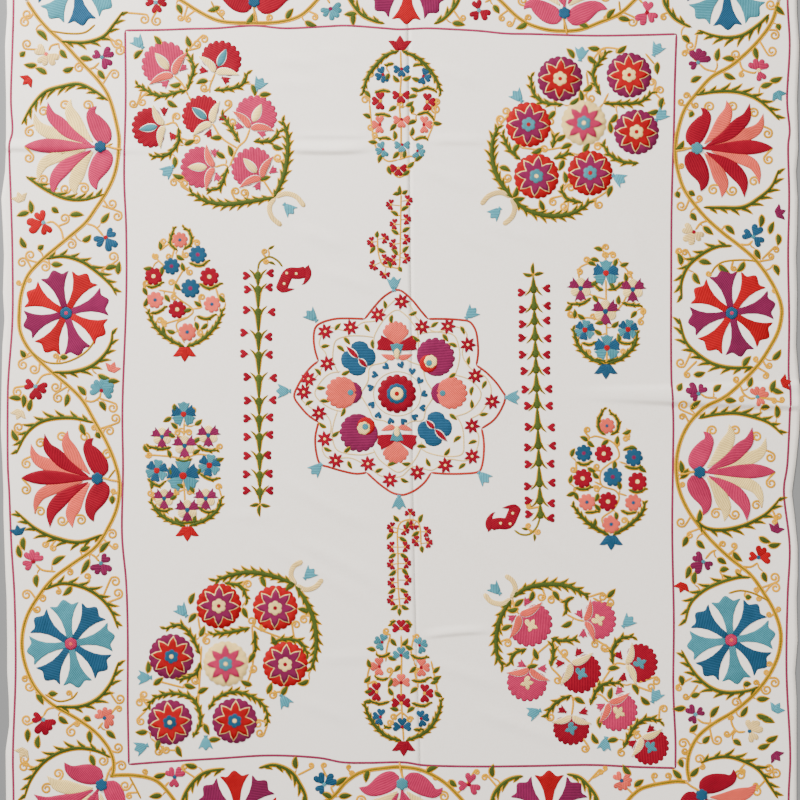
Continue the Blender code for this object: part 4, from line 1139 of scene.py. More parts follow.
# Ovals: foot, tulip's thread, feathers, flowers (place, radius, kind, facing), arcs, stems, leaves, curls
Oval = namedtuple("Oval", "foot tulip feathers flowers arcs stems leaves curls")
OVAL_TOP_LEFT = Oval(
    (-41, 9.8), "scarlet",
    ((-41, 9.8, -43.5, 11, -46, 13, -47.3, 15, -48, 16.7),
     (-40.7, 9.8, -38, 11, -35.5, 13.3, -34.3, 15.3, -33.8, 17),
     (-42.3, 28.1, -43.7, 29.3, -43.5, 31, -42.8, 32.7), (-41.3, 28.2, -39.8, 29.5, -40, 31.5, -41.5, 32.7)),
    (((-41.9, 30.1), 1.4, "salmon"), ((-46.6, 18.7), 1.5, "salmon"), ((-35.8, 17.9), 1.5, "salmon"),
     ((-40.5, 12.6), 1.6, "salmon"), ((-38.5, 27.3), 1.6, "indigo"), ((-43.5, 25.1), 1.5, "indigo"),
     ((-39.9, 20.9), 1.7, "indigo"), ((-46.9, 23.2), 1.6, "crimson"), ((-36.3, 23.1), 1.7, "crimson"),
     ((-42.4, 16.9), 1.6, "crimson")),
    ((-40.3, 25.8, -38, 25.2, -36.2, 26.4), (-48.3, 21.3, -46.8, 21.2, -44.9, 22.2),
     (-38.3, 21.9, -36.3, 20.9, -33.8, 22), (-47.6, 16.2, -46, 16.4, -44.4, 17.6),
     (-38.8, 15.7, -36.8, 15.1, -35, 16.1)),
    ((-41, 10.5, -42.6, 14, -40.3, 15.5, -39.5, 17, -43, 20, -41.5, 24, -40, 25), (-42.5, 20, -46, 20.6),
     (-39.5, 17, -37.8, 17.2), (-43, 23.6, -45.8, 26, -46.8, 27.5), (-45.8, 28, -43.9, 29.5),
     (-40.3, 15.5, -44.7, 14.2)),
    (-45.7, 29, -41.8, 26.8, -48, 24.8, -45.3, 24.2, -41.3, 25, -48.5, 20.3, -48.5, 18.3, -44.3, 19,
     -42.3, 21.2, -38.5, 18, -40.5, 16.7, -45, 13, -43.6, 12.8, -38.8, 13.7, -37.3, 13.7, -33.9, 19),
    (-45, 29.8, -46.5, 27, -44, 27, -40.8, 27.3, -38.7, 29.5, -40, 24, -48.3, 21.8, -43.5, 22, -37.7, 19.2,
     -43, 19.2, -44.8, 14.3, -45.7, 14.8, -38, 12.5, -34, 19.5))
OVAL_BOTTOM_RIGHT = Oval(
    (40, -26), "indigo",
    ((39.7, -26, 36.5, -24.3, 34, -22, 32.6, -20), (40.3, -26, 43.5, -24, 45.8, -21.7, 46.5, -19.5),
     (39, -7, 37.8, -6, 37.6, -4, 38.8, -1.7), (39.8, -7, 41.2, -6, 41.2, -4, 39.5, -2.3)),
    (((39.2, -5.2), 1.4, "salmon"), ((35.4, -19.7), 1.5, "salmon"), ((44.2, -19.8), 1.5, "salmon"),
     ((40, -23.9), 1.6, "salmon"), ((34.8, -10.4), 1.5, "indigo"), ((44.3, -11.2), 1.6, "indigo"),
     ((40.3, -14.9), 1.7, "indigo"), ((38.6, -10.5), 1.6, "crimson"), ((34.6, -15.2), 1.7, "crimson"),
     ((45, -15.8), 1.7, "crimson"), ((39.4, -19.6), 1.7, "crimson")),
    ((33.3, -12, 34.9, -12.6, 36.6, -11.8), (42.2, -9.9, 43.4, -9.4, 44.9, -9.5),
     (42.4, -12.8, 44.4, -13.3, 46, -12.8), (33, -16.9, 34.8, -17.3, 36.5, -16.7),
     (43.2, -17.3, 45, -17.8, 46.9, -17), (34.9, -21.7, 36.5, -21.6, 37.8, -21.4),
     (41.7, -21.2, 43.3, -21.8, 45, -21.5)),
    ((40, -25.8, 38.2, -23, 40.3, -21.2, 41.5, -19, 40.8, -17.5, 38.2, -16.5, 38, -14, 39.5, -12.5, 41.5, -11,
     40.5, -8.5, 37.3, -7.2, 36, -7.5), (38.2, -16.5, 36.8, -15.8), (41.5, -12, 43, -12.5),
     (41.4, -18, 43, -18.5), (42.6, -8, 43.5, -7.2, 42.9, -5.6)),
    (34.8, -7.7, 41.2, -7.9, 38.8, -8.4, 36.2, -8.6, 42.9, -6.3, 44, -9.5, 32.8, -10.3, 36.3, -13.5,
     37.1, -14.5, 41.4, -16.5, 32.3, -15.3, 45.9, -13.6, 32.3, -18.1, 33.4, -18.6, 37.2, -18.8, 37.4, -20.7,
     40.8, -22.4, 36.8, -23.6, 40.5, -12.7),
    (35.5, -6, 42.8, -7.7, 37.3, -13, 41, -8.5, 32.8, -13.5, 42.5, -23.2, 37.2, -17.2))
OVAL_TOP_RIGHT = Oval(
    (39, 6.5), "indigo",
    ((38.7, 6.5, 36, 7.7, 33.8, 10, 32.7, 13.5), (39.2, 6.5, 42, 7.7, 44.3, 10, 45, 12.8),
     (36.2, 19.2, 34.5, 18, 31.7, 18), (41.9, 18.2, 43.5, 17.8, 45.9, 17.6),
     (38.6, 20.6, 37.5, 20.9, 36.8, 22), (39.2, 20.6, 41, 21, 42.3, 22.3)),
    (((39, 23.8), 2.3, "blue fans"), ((39.2, 9.6), 2.3, "blue fans"), ((35, 13), 1.9, "blue round"),
     ((43.2, 13.1), 1.9, "blue round"), ((34.2, 20.9), 2.4, "tulips"), ((44.1, 20.7), 2.4, "tulips"),
     ((38.9, 16.5), 2.6, "tulips")),
    ((34.3, 10.6, 36, 10.2, 37.3, 10.9), (41, 11, 42.8, 10.4, 44.6, 10.8), (36.6, 7.4, 38, 7.3, 39, 6.8),
     (39, 6.8, 40.2, 7.4, 41.6, 7.3)),
    ((39.1, 6.5, 39.2, 9, 39.1, 14, 39, 22.5), (39, 14.3, 36.8, 15.2, 33.5, 15.4),
     (39, 18.8, 36.6, 19.5, 35.5, 20), (39.1, 15.2, 41.8, 17.5, 43.3, 20.3), (36.5, 26, 34, 24.8, 33.9, 22.8),
     (41.5, 26.2, 43.5, 23.7, 44.2, 22.4), (39, 25.8, 38.8, 27.5, 38, 28.5), (45.7, 17.4, 46.2, 15.5)),
    (37.5, 28.3, 36.3, 25.5, 36.9, 26.2, 40.8, 25.7, 42.5, 25.5, 42.7, 23, 41.5, 18.7, 37, 18.9, 31.9, 17.2,
     34.3, 15.6, 33, 16.1, 44.3, 15.9, 37.8, 14.3, 40.7, 14.1, 37.5, 12.6, 41.3, 11.5, 36.7, 21.8, 40, 21.3),
    ((39, 28.7), (38.8, 27.2), (40.3, 27.2), (35.3, 26.3), (34, 24), (43.5, 23.5), (46, 16.5), (45.7, 14.5),
     (32.3, 16), (36.5, 15.5), (35.7, 8.8, 0.5), (42.2, 8.9, 0.5)))
OVAL_BOTTOM_LEFT = Oval(
    (-40.5, -24.3), "scarlet",
    ((-40.8, -24.2, -43.5, -23.3, -46, -21.7, -47.5, -19.3), (-40.2, -24.2, -37, -23, -34.7, -21, -34, -18.7),
     (-43.5, -9.2, -45.5, -9.6, -48.2, -9), (-38.8, -8.8, -37, -9.8, -34.6, -9.8)),
    (((-41.2, -3), 2.2, "blue fans"), ((-41.3, -14.7), 2.9, "blue fans"), ((-46.3, -13.7), 2.1, "blue round"),
     ((-36.3, -12.7), 2.1, "blue round"), ((-45.3, -7.3), 2.1, "tulips"), ((-36.5, -7), 2.2, "tulips"),
     ((-41, -9), 2.3, "tulips"), ((-44.9, -19), 2.1, "tulips"), ((-37, -19), 2.2, "tulips"),
     ((-40.5, -21.2), 2.3, "tulips")),
    ((-48.2, -15.2, -46, -16.6, -44.6, -15.6), (-38.3, -14.2, -36, -15.4, -34.2, -15),
     (-42.8, -11.5, -41.1, -11.9, -39.5, -11.4), (-46.9, -20.6, -45, -21.4, -43.3, -20.8),
     (-38.6, -20.5, -36.8, -21.6, -34.9, -21.2), (-42.4, -23.3, -41, -23.6, -38.4, -23.2)),
    ((-40.5, -24.3, -41, -18.5, -41.2, -13, -41.1, -4.5), (-41.2, -11.5, -44, -11, -48, -10.7),
     (-41.2, -11.5, -38.5, -10.6, -35.5, -11), (-47.5, -17, -46.5, -19.5, -44, -22), (-41, -17.2, -43, -18.2),
     (-41, -17.2, -39, -18.2), (-34.6, -16.5, -34, -18.7)),
    ((-43, -0.9, -43, -2.8), (-44.3, -4), (-43, -5.2), (-38.4, -4.5), (-38.5, -8), (-48.2, -9.5),
     (-43.5, -6.8), (-44, -10.5), (-38.7, -10.2), (-43.8, -13.9), (-38.3, -13.7), (-34.4, -11.5),
     (-42, -16.6), (-39.7, -17.2), (-43.2, -18.9), (-47.3, -16.4), (-39, -22.9), (-42.4, -23.1)),
    (-39.4, -2.3, -42.3, -6.5, -40.2, -6.5, -47.8, -10.7, -47.5, -18, -34.6, -16.8, -42.4, -17.6, -40, -17.8,
     -34.3, -9.2))
# The two pointed sprays above and below the middle
OVAL_TOP = Oval(
    (-0.1, 66.1), "crimson",
    ((-0.3, 66, -2.5, 65.3, -4.5, 63.5, -6.3, 61, -7.3, 57.6),
     (0.2, 66, 3, 64.8, 5, 63, 6.8, 60.5, 7.7, 57.8)),
    (((-3.3, 61.5), 1.25, "indigo", 200), ((0.2, 62.6), 1.25, "indigo", -90),
     ((4.3, 61.2), 1.25, "indigo", -20), ((-3.8, 56.5), 1.35, "crimson", 180),
     ((0.1, 57.7), 1.35, "crimson", -90), ((5, 56.3), 1.35, "crimson", 0), ((-3.9, 52), 1.3, "salmon", 180),
     ((0.2, 53), 1.3, "salmon", -90), ((4.4, 52), 1.3, "salmon", 0), ((-3.3, 47.3), 1.2, "teal", 200),
     ((0.3, 48.2), 1.2, "teal", -90), ((3.2, 47), 1.2, "teal", -20),
     ((-0.4, 43.8), 1.3, "crimson", -90)),
    ((-1.8, 58.2, -3.4, 58.5, -5, 58), (3, 58.2, 5, 59, 7, 58.2), (-1.7, 53.5, -3.5, 54, -5, 53.8),
     (3, 53.8, 5, 54.3, 6.5, 52.8), (-1.7, 49.2, -3, 49.5, -4.3, 49.3), (2.5, 49, 4, 49.6, 5.3, 49.2),
     (-1.2, 63.6, -2, 63.5, -3, 63.2), (2.3, 63, 3, 63.4, 4.2, 63.4)),
    ((0, 66, 0.1, 61, -0.2, 56, 0.1, 51, 0, 45.5), (-5.9, 56, -5.5, 52, -4.8, 48, -2.8, 45.2, -0.5, 45.3),
     (6.9, 56.8, 6.3, 52.5, 5, 49), (-0.5, 45.3, 2, 46, 3.4, 45.2), (-2, 43.6, -0.4, 42, 1.6, 43)),
    (-0.8, 60.8, 1.2, 60.9, -6.3, 57.8, 2.7, 58.7, 2.3, 57.2, 1.7, 56, 2, 55, -1.5, 55, -6.4, 53.6, 7, 52.3,
     2.2, 52.3, -1.4, 51.5, 2.1, 50.7, -1.2, 50, -5.3, 48.7, -0.9, 46.2, 0.8, 46.4, -3.8, 45.5, 3.5, 45.5,
     -2.1, 43.3, 1.9, 44.4, 1, 42.8, -2.6, 61, 2.9, 60.6),
    ((6.9, 56.3), (6.7, 55, 0.9), (-5.7, 61.5), (-6.7, 56.7, 0.8), (-5.7, 51.5), (-5, 50), (0, 55.8)))
OVAL_LOW = Oval(
    (0.6, -65.1), "crimson",
    ((0.2, -65, -2.5, -64.2, -4.5, -62.5, -6, -60.3, -6.9, -57.8),
     (1, -65, 4, -63.8, 6, -62, 7.3, -59.5, 7.8, -57)),
    (((0.1, -43.7), 1.35, "crimson", 90), ((-3.5, -46.3), 1.25, "teal", 160),
     ((3.6, -46.9), 1.25, "teal", 20), ((0.1, -48.8), 1.3, "teal", 90),
     ((-4, -50.9), 1.35, "salmon", 180), ((3.9, -51.1), 1.35, "salmon", 0), ((0.1, -54), 1.35, "salmon", 90),
     ((-4.5, -55.7), 1.4, "crimson", 180), ((4.5, -56), 1.4, "crimson", 0),
     ((0.1, -57.9), 1.45, "crimson", 90), ((-3.8, -60.5), 1.25, "indigo", 170),
     ((3.9, -60.8), 1.25, "indigo", 10), ((0.3, -62.4), 1.4, "indigo", 90)),
    ((-1.9, -48.2, -3.3, -49, -4.7, -48.7), (1.8, -48.6, 3.5, -49.4, 5.4, -49),
     (-2.2, -53, -3.5, -53.4, -5, -52.8), (2, -53.5, 4, -53.7, 5.8, -52.8), (-2, -57.5, -4, -58, -6, -57.3),
     (2, -57.8, 4.3, -58.4, 6, -57.6), (-1.6, -62.4, -2.4, -62.5, -3.2, -62.2),
     (2.4, -62.9, 3.4, -62.9, 4.3, -62.7), (-0.8, -42.2, -1.5, -42.4, -2, -43.2),
     (0.8, -42.2, 1.5, -42.5, 2, -43.4)),
    ((0.6, -65, 0.3, -60, 0.1, -55, 0.2, -50, 0.1, -45), (-1.9, -44.8, -2.6, -47.5, -2.8, -50),
     (2.6, -45, 2, -48, 2.6, -50), (-5.6, -50, -6.3, -53, -6, -56), (5.8, -49.8, 6.5, -53, 7, -55.5),
     (0.2, -59.5, -1.6, -61), (0.2, -59.5, 1.8, -61)),
    (-1.3, -46.3, 0.8, -46.2, 1.6, -47.2, -1.6, -49.4, -5.9, -50.3, -0.6, -51.3, 2.3, -51.5, 6.8, -51.5,
     -6.3, -53.3, 6.9, -53, -2, -54, 6.4, -53.7, -6, -55.5, -1.8, -55.6, 2.6, -55.5, 7.2, -56.2, -6.2, -57.5,
     -1.2, -59, 2, -59.2, -5.6, -47.7),
    (-2.7, -44.2, 3, -45.2, -5, -54.3, -2.1, -51.7, 3.3, -51.8, -1.4, -60.5, -2, -61.5, 1.8, -61))

# Crooked stems of little flowers: stem, flowers, leaves
CROOK_TOP = (
    (0.1, 38.8, 0, 33, -0.1, 28, -0.3, 25, -1.5, 24.9, -3.3, 25.3, -4.2, 27.5, -4.4, 30.7),
    (-1.8, 36.8, 1.3, 37.6, -1.1, 33.1, 1, 34, -1.2, 29.3, 0.9, 30.2, -1.2, 26.3, 0.9, 26.6, -3.1, 26.4,
     -3.2, 30.4, -5.4, 29.7, -5, 25.3, -3, 23.7),
    ((0, 38.6, -0.1, 40.6), (0, 38.8, -1.6, 38.7), (0.2, 38.8, 1.4, 39.6), (0.9, 36), (-1.2, 35.1), (1.1, 32),
     (-1.1, 31.6), (1, 28.3), (-1.2, 27.8), (-5.3, 28.2), (-3.5, 28.2), (-2.2, 25.5), (-0.3, 25.1, 0.3, 24),
     (-4.4, 30.4, -4.3, 31.9)),
)
CROOK_LOW = (
    (-0.1, -39.8, -0.5, -35, -0.5, -30, -0.6, -25.5, -0.1, -23.7, 1.5, -23, 3, -23.3, 3.7, -24.5, 3.9, -28),
    (1.8, -21.9, -1.6, -24.5, 0.7, -25, 2.5, -24, 4.8, -25.3, 3.1, -27.1, 5.1, -27.4, -1.6, -28.2, 0.8, -28.2,
     -1.6, -31.5, 1, -31.3, -1.5, -35, 1.1, -34.5, -1.6, -38.3, 1, -38),
    ((-0.2, -23.4, -1.4, -22.1), (3.6, -23.7, 4.3, -21.9), (1.2, -24), (-2, -26.2), (0.5, -26.7),
     (2.8, -25.7), (4, -27.9, 4.2, -29.4), (-1.6, -29.9), (0.7, -29.8), (-1.6, -33.1), (0.9, -32.9),
     (-1.7, -36.6), (0.7, -36.4), (-1.2, -39.7), (0.9, -39.6), (-0.2, -39.7, -0.2, -41.4)),
)

# Hearts on either side of the two tall stalks, in pairs from the foot to the head
STALK_LEFT_HEARTS = (
    -29.2, 23.3, -24.8, 23.8, -29, 20.7, -25, 21.1, -29.2, 16.8, -24.5, 16.4, -29.7, 12.5, -25.1, 11.7,
    -29.7, 8.5, -25, 8.3, -29.1, 4.1, -24.2, 3.9, -29, -0.4, -24.3, -0.3, -29.1, -3.8, -24.9, -3.6,
    -29.1, -7.3, -24.9, -6.9, -29.1, -10.9, -25.3, -10.8, -29.2, -14.4, -25, -14.3, -29.2, -17.5,
    -24.9, -17.5,
)
STALK_RIGHT_HEARTS = (
    24.4, -22, 28.5, -22.7, 24.3, -19.4, 28.6, -19.9, 24.2, -16.7, 28.7, -16, 24.3, -12.5, 28.5, -12.4,
    24.2, -9.3, 28.8, -9, 24.3, -5.4, 28.6, -5.5, 24.2, -1.4, 28.2, -1.4, 23.7, 1.7, 28.1, 1.8, 23.5, 5.2,
    27.7, 5.3, 23.2, 8.3, 27.7, 8.3, 23.1, 11.5, 27.9, 11.4, 23.2, 14.1, 27.7, 14.8, 23.2, 16.9, 27.8, 17.6,
    23, 20.1, 27.7, 20.9,
)

# The bent flower of a stalk, from the end of its stem: spine, half width and form of each part
BIRD_PETALS = (
    ((-0.4, -4.7, 0.3, -2.9, 1.2, -1.3, 3, -1.25, 4.6, -0.9), 1.15, even),
    ((-0.7, -4.6, 0.8, -4.4, 2.3, -4.2), 0.45, full_shape),
    ((4.7, 0.2, 4.9, -1.5, 4.2, -3, 3.6, -3.4), 0.62, full_shape),
    ((4.3, -0.6, 4.8, -0.1, 5, 0.4), 0.4, full_shape),
)

# The medallion: its star outline, the flowers and leaves of its band, and its inner lines
STAR_ARMS = (
    (-6.8, 15.1, -5, 17.4, -3.2, 19.3, -1.2, 20.5, 0.2, 20.4, 2.2, 18.7, 3.9, 16.6, 5.2, 15.1),
    (5.2, 15.1, 8.5, 15.1, 11.5, 14.9, 13.2, 14.5, 14.3, 12.8, 14.7, 10.2, 14.7, 8.2, 14.4, 6.3),
    (14.4, 6.3, 16.2, 5, 18, 3.2, 19.3, 1.4, 19.9, 0.2, 19.2, -1.9, 17.7, -4.1, 15.4, -5.7),
    (15.4, -5.7, 15.8, -8, 15.8, -10.6, 15.4, -13, 14.6, -14, 11.6, -14.3, 8.3, -14.3, 5.8, -14.1),
    (5.8, -14.1, 4.6, -15.9, 2.8, -17.4, 1, -18.2, 0, -18.3, -1.8, -17.8, -4.2, -16.1, -6.4, -14.1),
    (-6.4, -14.1, -8.5, -14.3, -11, -13.8, -13.7, -13, -15.3, -12.4, -16, -10.3, -16.2, -7.4, -15.6, -4.5),
    (-15.6, -4.5, -17.3, -3.4, -18.9, -1.7, -20.2, 0.3, -19.6, 2.2, -18.3, 4.4, -17, 6, -15.6, 7.1),
    (-15.6, 7.1, -16.2, 9, -16.5, 11.3, -16.2, 13.4, -15, 14.4, -12.5, 15.1, -10, 15.2, -6.8, 15.1),
)
STAR_FLOWERS = (
    0.2, 18.4, -4.3, 15.9, 4.1, 13.6, 9, 13.7, -9.5, 13.5, -14.3, 12.7, 12.8, 10.2, -13.9, 6.6, 14.2, 4.3,
    -17.5, 3.7, -18.4, 1.2, 17.4, -0.6, -15.5, -2.8, 13.6, -5.2, -14.4, -7.7, 13.6, -11, -12.3, -11.8,
    8.5, -12.7, -6.2, -12.4, 3.2, -14.1, -2, -15.5,
)
STAR_LEAVES = (
    -3, 17.8, 2.3, 16.2, 6.5, 14, -6.3, 13.4, -11.9, 13.6, 11.7, 12.9, -14.3, 9.9, 13, 7.2, -15.8, 5,
    15.9, 2.6, -17.3, -0.9, 15.8, -3, -14.8, -5, 13.7, -8.4, -13.8, -9.6, -9.6, -12.6, 11.7, -12.9,
    5.3, -12.1, -4.1, -13.7, 0.8, -15.5,
)
STAR_VINE = (
    -0.5, 19.2, 1.8, 17.6, 3.3, 15, 6.5, 12.7, 10.5, 13.6, 12.6, 12.2, 11.7, 8.5, 13.4, 5.6, 16.2, 4, 17.2, 1,
    15.3, -2.6, 13.2, -4.2, 14.8, -7, 14.3, -10, 12.5, -11.8, 8.8, -11.6, 6, -13.6, 2.5, -12.9, 0, -14.8,
    -3.5, -14.8, -5.8, -13.2, -9.5, -11.3, -13.6, -11.4, -14.9, -9.2, -13.3, -6.3, -13.8, -3.5, -17, -1.8,
    -18.9, 0.3, -17, 3, -15.3, 5.2, -14.1, 8.2, -15.5, 10.5, -13.7, 13.4, -9.8, 12.8, -7.3, 14.4, -4.5, 14.9,
    -2.5, 17.4, -0.5, 19.2,
)
LOBE_LINES = (
    (-5, 9.6, -5, 11.8, -3.7, 14.3, -2.2, 16, -0.6, 16.8, 1.2, 15.6, 2.8, 13.5, 3.3, 12, 3.4, 9.6),
    (3.3, 12.2, 5.5, 12.6, 8.3, 12.5, 10.3, 11.8, 11.2, 9, 11, 6.5, 10.3, 4.4),
    (9.9, 4.6, 12.6, 3.8, 14.4, 2.5, 15.3, 0.8, 14.4, -1.2, 12.6, -2.7, 10, -3.5),
    (10.6, -3.2, 11.7, -5.4, 12, -8.2, 11.6, -10.6, 8.6, -11, 5.5, -10.4, 3.8, -9.5),
    (4, -8.2, 3.6, -10, 2.4, -12, 1, -13.3, -0.5, -14, -2.3, -13, -4.2, -11.4, -5.2, -9.6),
    (-5, -10.2, -7.3, -10.7, -10.5, -10.4, -12.3, -9.5, -13, -7, -12.7, -4.6, -12, -2.4),
    (-10.4, -2.6, -13, -2, -15.2, -0.6, -16.3, 1, -15.3, 3, -13.5, 4.7, -11.4, 5.1),
    (-11.8, 4.8, -12.8, 7, -12.8, 9.2, -12.3, 11, -10.4, 11.8, -7.6, 11.9, -5, 11.6),
)
INNER_LINE = (
    -7.7, 0.8, -6.2, 3.3, -5.8, 6, -3, 6.9, -0.9, 8.3, 2, 6.9, 4, 6, 4.8, 3.5, 6.2, 0.7, 4.8, -2, 4.2, -4.1,
    2, -4.4, -0.5, -5.8, -3, -4.3, -5.1, -3.8, -6, -2, -7.7, 0.8,
)
RING_HEARTS = (
    -2.7, 6, 0.1, 6.3, 2.2, 5.1, 3.6, 3.3, 4.4, 0.8, 4.1, -1.8, 2.6, -3.5, 0.5, -4.3, -1.9, -4.2, -4.2, -3.1,
    -5.4, -1.1, -5.6, 2.1, -4.8, 4.5,
)
INNER_LEAVES = (
    -1.6, 15, -5.2, 10.3, 3, 11.4, -10.2, 10.9, -11.4, 9.4, 8.5, 11.5, 9.9, 10.1, -10.4, 4.9, 9.8, 4.3,
    -15.1, 2, -14.5, -0.6, 13.6, 1.4, 13.5, -1.1, -11, -2.6, 10, -3.5, -12.4, -6.7, -10.1, -9.7, 10.8, -7.8,
    8.8, -10.1, 4, -9.2, -1.6, -12.5, 1.1, -12.3,
)
TUFTS_ROUND_STAR = (
    (-1.3, 21.8, 90), (13.4, 16.2, 45), (-16.9, 15.7, 135), (-22.3, 1.4, 180), (21.3, 0.2, 0),
    (-16, -13.4, 225), (15.8, -15, -45), (-0.3, -19.8, -90),
)
# The flower in the middle: radius, thread, lobes and their depth, from the lowest disc up
MIDDLE_DISCS = ((3.75, "crimson", 14, 0.12), (2, "indigo", 10, 0.1), (1.3, "cream", 0, 0),
                (0.5, "scarlet", 6, 0.1))


def make_guards():
    """The long lines of chain stitch that part the border from the edge and from the field."""
    work = Needlework("guard_lines")
    for points in (GUARD_LEFT, GUARD_RIGHT, *GUARD_ENDS, *FRAME_LINES):
        work.line(points, GUARD_LINE, "guard", step=0.6)
    return work.finish()


def make_vine():
    """The border's vine: an olive line between two gold ones, laid side by side."""
    work = Needlework("border_vine")
    for points in VINES:
        path, _ = smooth_path(points, 0.6)
        side = normals_of(path) * VINE_OFFSET
        work.stems.append(path)
        for offset in (side, -side):
            work.line((path + offset)[::3], VINE_EDGE, "gold", step=0.6)
        work.line(path[::3], VINE_HEART, "olive", 1, 0.6)
    for points in VINE_TWIGS:
        work.stem(points, 0.25)
        work.line(points, 0.10, "olive", 1)
    return work


def make_border(vine):
    """Everything that grows from the vine, in pieces of one kind each."""
    stems = list(vine.stems)
    pieces = [vine.finish()]
    work = Needlework("border_palmettes")
    for row in PALMETTES:
        work.palmette(*row)
    pieces.append(work.finish())
    work = Needlework("border_rosettes")
    for row in ROSETTES:
        work.rosette(*row)
    pieces.append(work.finish())
    work = Needlework("border_feathers")
    for side, *points in BORDER_FEATHERS:
        work.feather(points, (side,), 0.34, 2.2, 1.9)
    stems += work.stems
    pieces.append(work.finish())
    work = Needlework("border_sprigs")
    work.stems = stems
    for core, petals, thread, heart, stem in SPRIGS:
        work.stem(stem, 0.26)
        work.trefoil(core, petals, thread, heart)
    for at, thread, turn in BUDS:
        work.tulip(at, turn, 2.1, thread)
    work.leaves(BORDER_LEAVES, 2.8, 0.78)
    pieces.append(work.finish())
    work = Needlework("border_tendrils")
    work.stems = stems
    work.curls(BORDER_CURLS, 0.95)
    pieces.append(work.finish())
    return pieces


def make_corner(name, spray, flowers, starred=None):
    """A corner spray: feathers, stems, horns and tufts, then its carnations or, where starred
    isn't told, its star rosettes, then leaves and tendrils."""
    work = Needlework(name)
    for number, points in enumerate(spray.feathers):
        work.feather(points, (1, -1), *((0.50, 1.8, 1.6) if number < 2 else (0.34, 1.4, 1.5)))
    for points in spray.stems:
        work.stem(points, 0.24)
    for points in spray.horns:
        work.petal(points, 0.5, "beige", even)
    work.tuft(*spray.horn_tuft, "sky", 1.35)
    for x, y, turn in spray.tufts:
        work.tuft((x, y), turn, "sky", 1.4)
    for row in flowers:
        if starred is None:
            work.star_rosette(*row)
        else:
            work.carnation(*row, starred)
    work.leaves(spray.leaves, 2.6, 0.74)
    work.curls(spray.curls, 0.78)
    return work.finish()


def small_flower(work, at, radius, kind, facing=None):
    """A flower of the ovals: three lobes that face one way, blue fans, tulips, or eight lobes."""
    if facing is not None:
        dot = "gold" if kind == "crimson" else "crimson"
        work.small_trefoil(at, facing, radius * 1.3, radius * 0.74, kind, dot)
    elif kind == "blue fans":
        for turn, thread in ((90, "teal"), (20, "indigo"), (160, "indigo"),
                             (-45, "teal"), (-135, "teal")):
            work.fan(at, turn, 0.1, radius * 1.12, 0.12, radius * 0.56, thread, 3, 0.1, 0.12, 0.7)
        work.disc(at, radius * 0.26, "scarlet", layer=1)
    elif kind == "blue round":
        for number in range(6):
            thread = "teal" if number % 2 else "indigo"
            work.fan(at, 60 * number + 20, 0.1, radius * 1.05, 0.12, radius * 0.5, thread, 2, 0.08, 0.08, 0.9)
        work.disc(at, radius * 0.3, "scarlet", 4, 0.2, layer=1)
    elif kind == "tulips":
        for turn in (30, 150, 270):
            work.fan(at, turn, 0.2, radius * 1.02, 0.2, radius * 0.5, "plum", 3, 0.14, 0.0, 0.8)
            work.fan(at, turn + 60, 0.2, radius * 0.88, 0.15, radius * 0.36, "cream", 1, 0.1, 0.25, 0.7)
        work.disc(at, radius * 0.22, "indigo", layer=1)
    else:
        core = {"crimson": "cream", "salmon": "indigo"}.get(kind, "plum")
        work.disc(at, radius * 1.12, kind, 8, 0.24, rng.uniform(0, 45))
        work.dot(at, radius * 0.27, core)


def make_oval(name, oval, tulip_turn):
    """An oval spray that grows from a tulip between two feather leaves."""
    work = Needlework(name)
    for number, points in enumerate(oval.feathers):
        work.feather(points, (1, -1), *((0.38, 1.15) if number < 2 else (0.26, 0.8)), 1.3)
    work.tulip(oval.foot, tulip_turn, 2.9, oval.tulip)
    for points in oval.stems:
        work.stem(points, 0.22)
    for points in oval.arcs:
        work.feather(points, (1, -1), 0.24, 0.6, 1.2)
    for flower in oval.flowers:
        small_flower(work, *flower)
    work.leaves(oval.leaves, 2.0, 0.62)
    work.curls(oval.curls, 0.6)
    return work.finish()


def make_crook(name, stem, flowers, leaves):
    """A crooked stem with little three-lobed flowers and leaves in pairs."""
    work = Needlework(name)
    work.stem(stem, 0.19)
    for at in pairs(flowers):
        root = work.nearest_stem(at)
        work.line((root, at), 0.12, "gold")
        work.small_trefoil(at, towards(root, at), 1.08, 0.6, "crimson", "gold")
    work.leaves(leaves, 1.9, 0.56)
    return work.finish()


def bird_flower(work, joint, turn):
    """A bent crimson flower like a bird in flight, with three pale dots."""
    for points, half_width, shape in BIRD_PETALS:
        work.petal(turned(pairs(points), joint, turn), half_width, "crimson", shape)
    for spot in ((0.8, -1.2), (2.6, -1.3), (0.3, -3.2)):
        work.dot(turned(spot, joint, turn), 0.3, "cream")


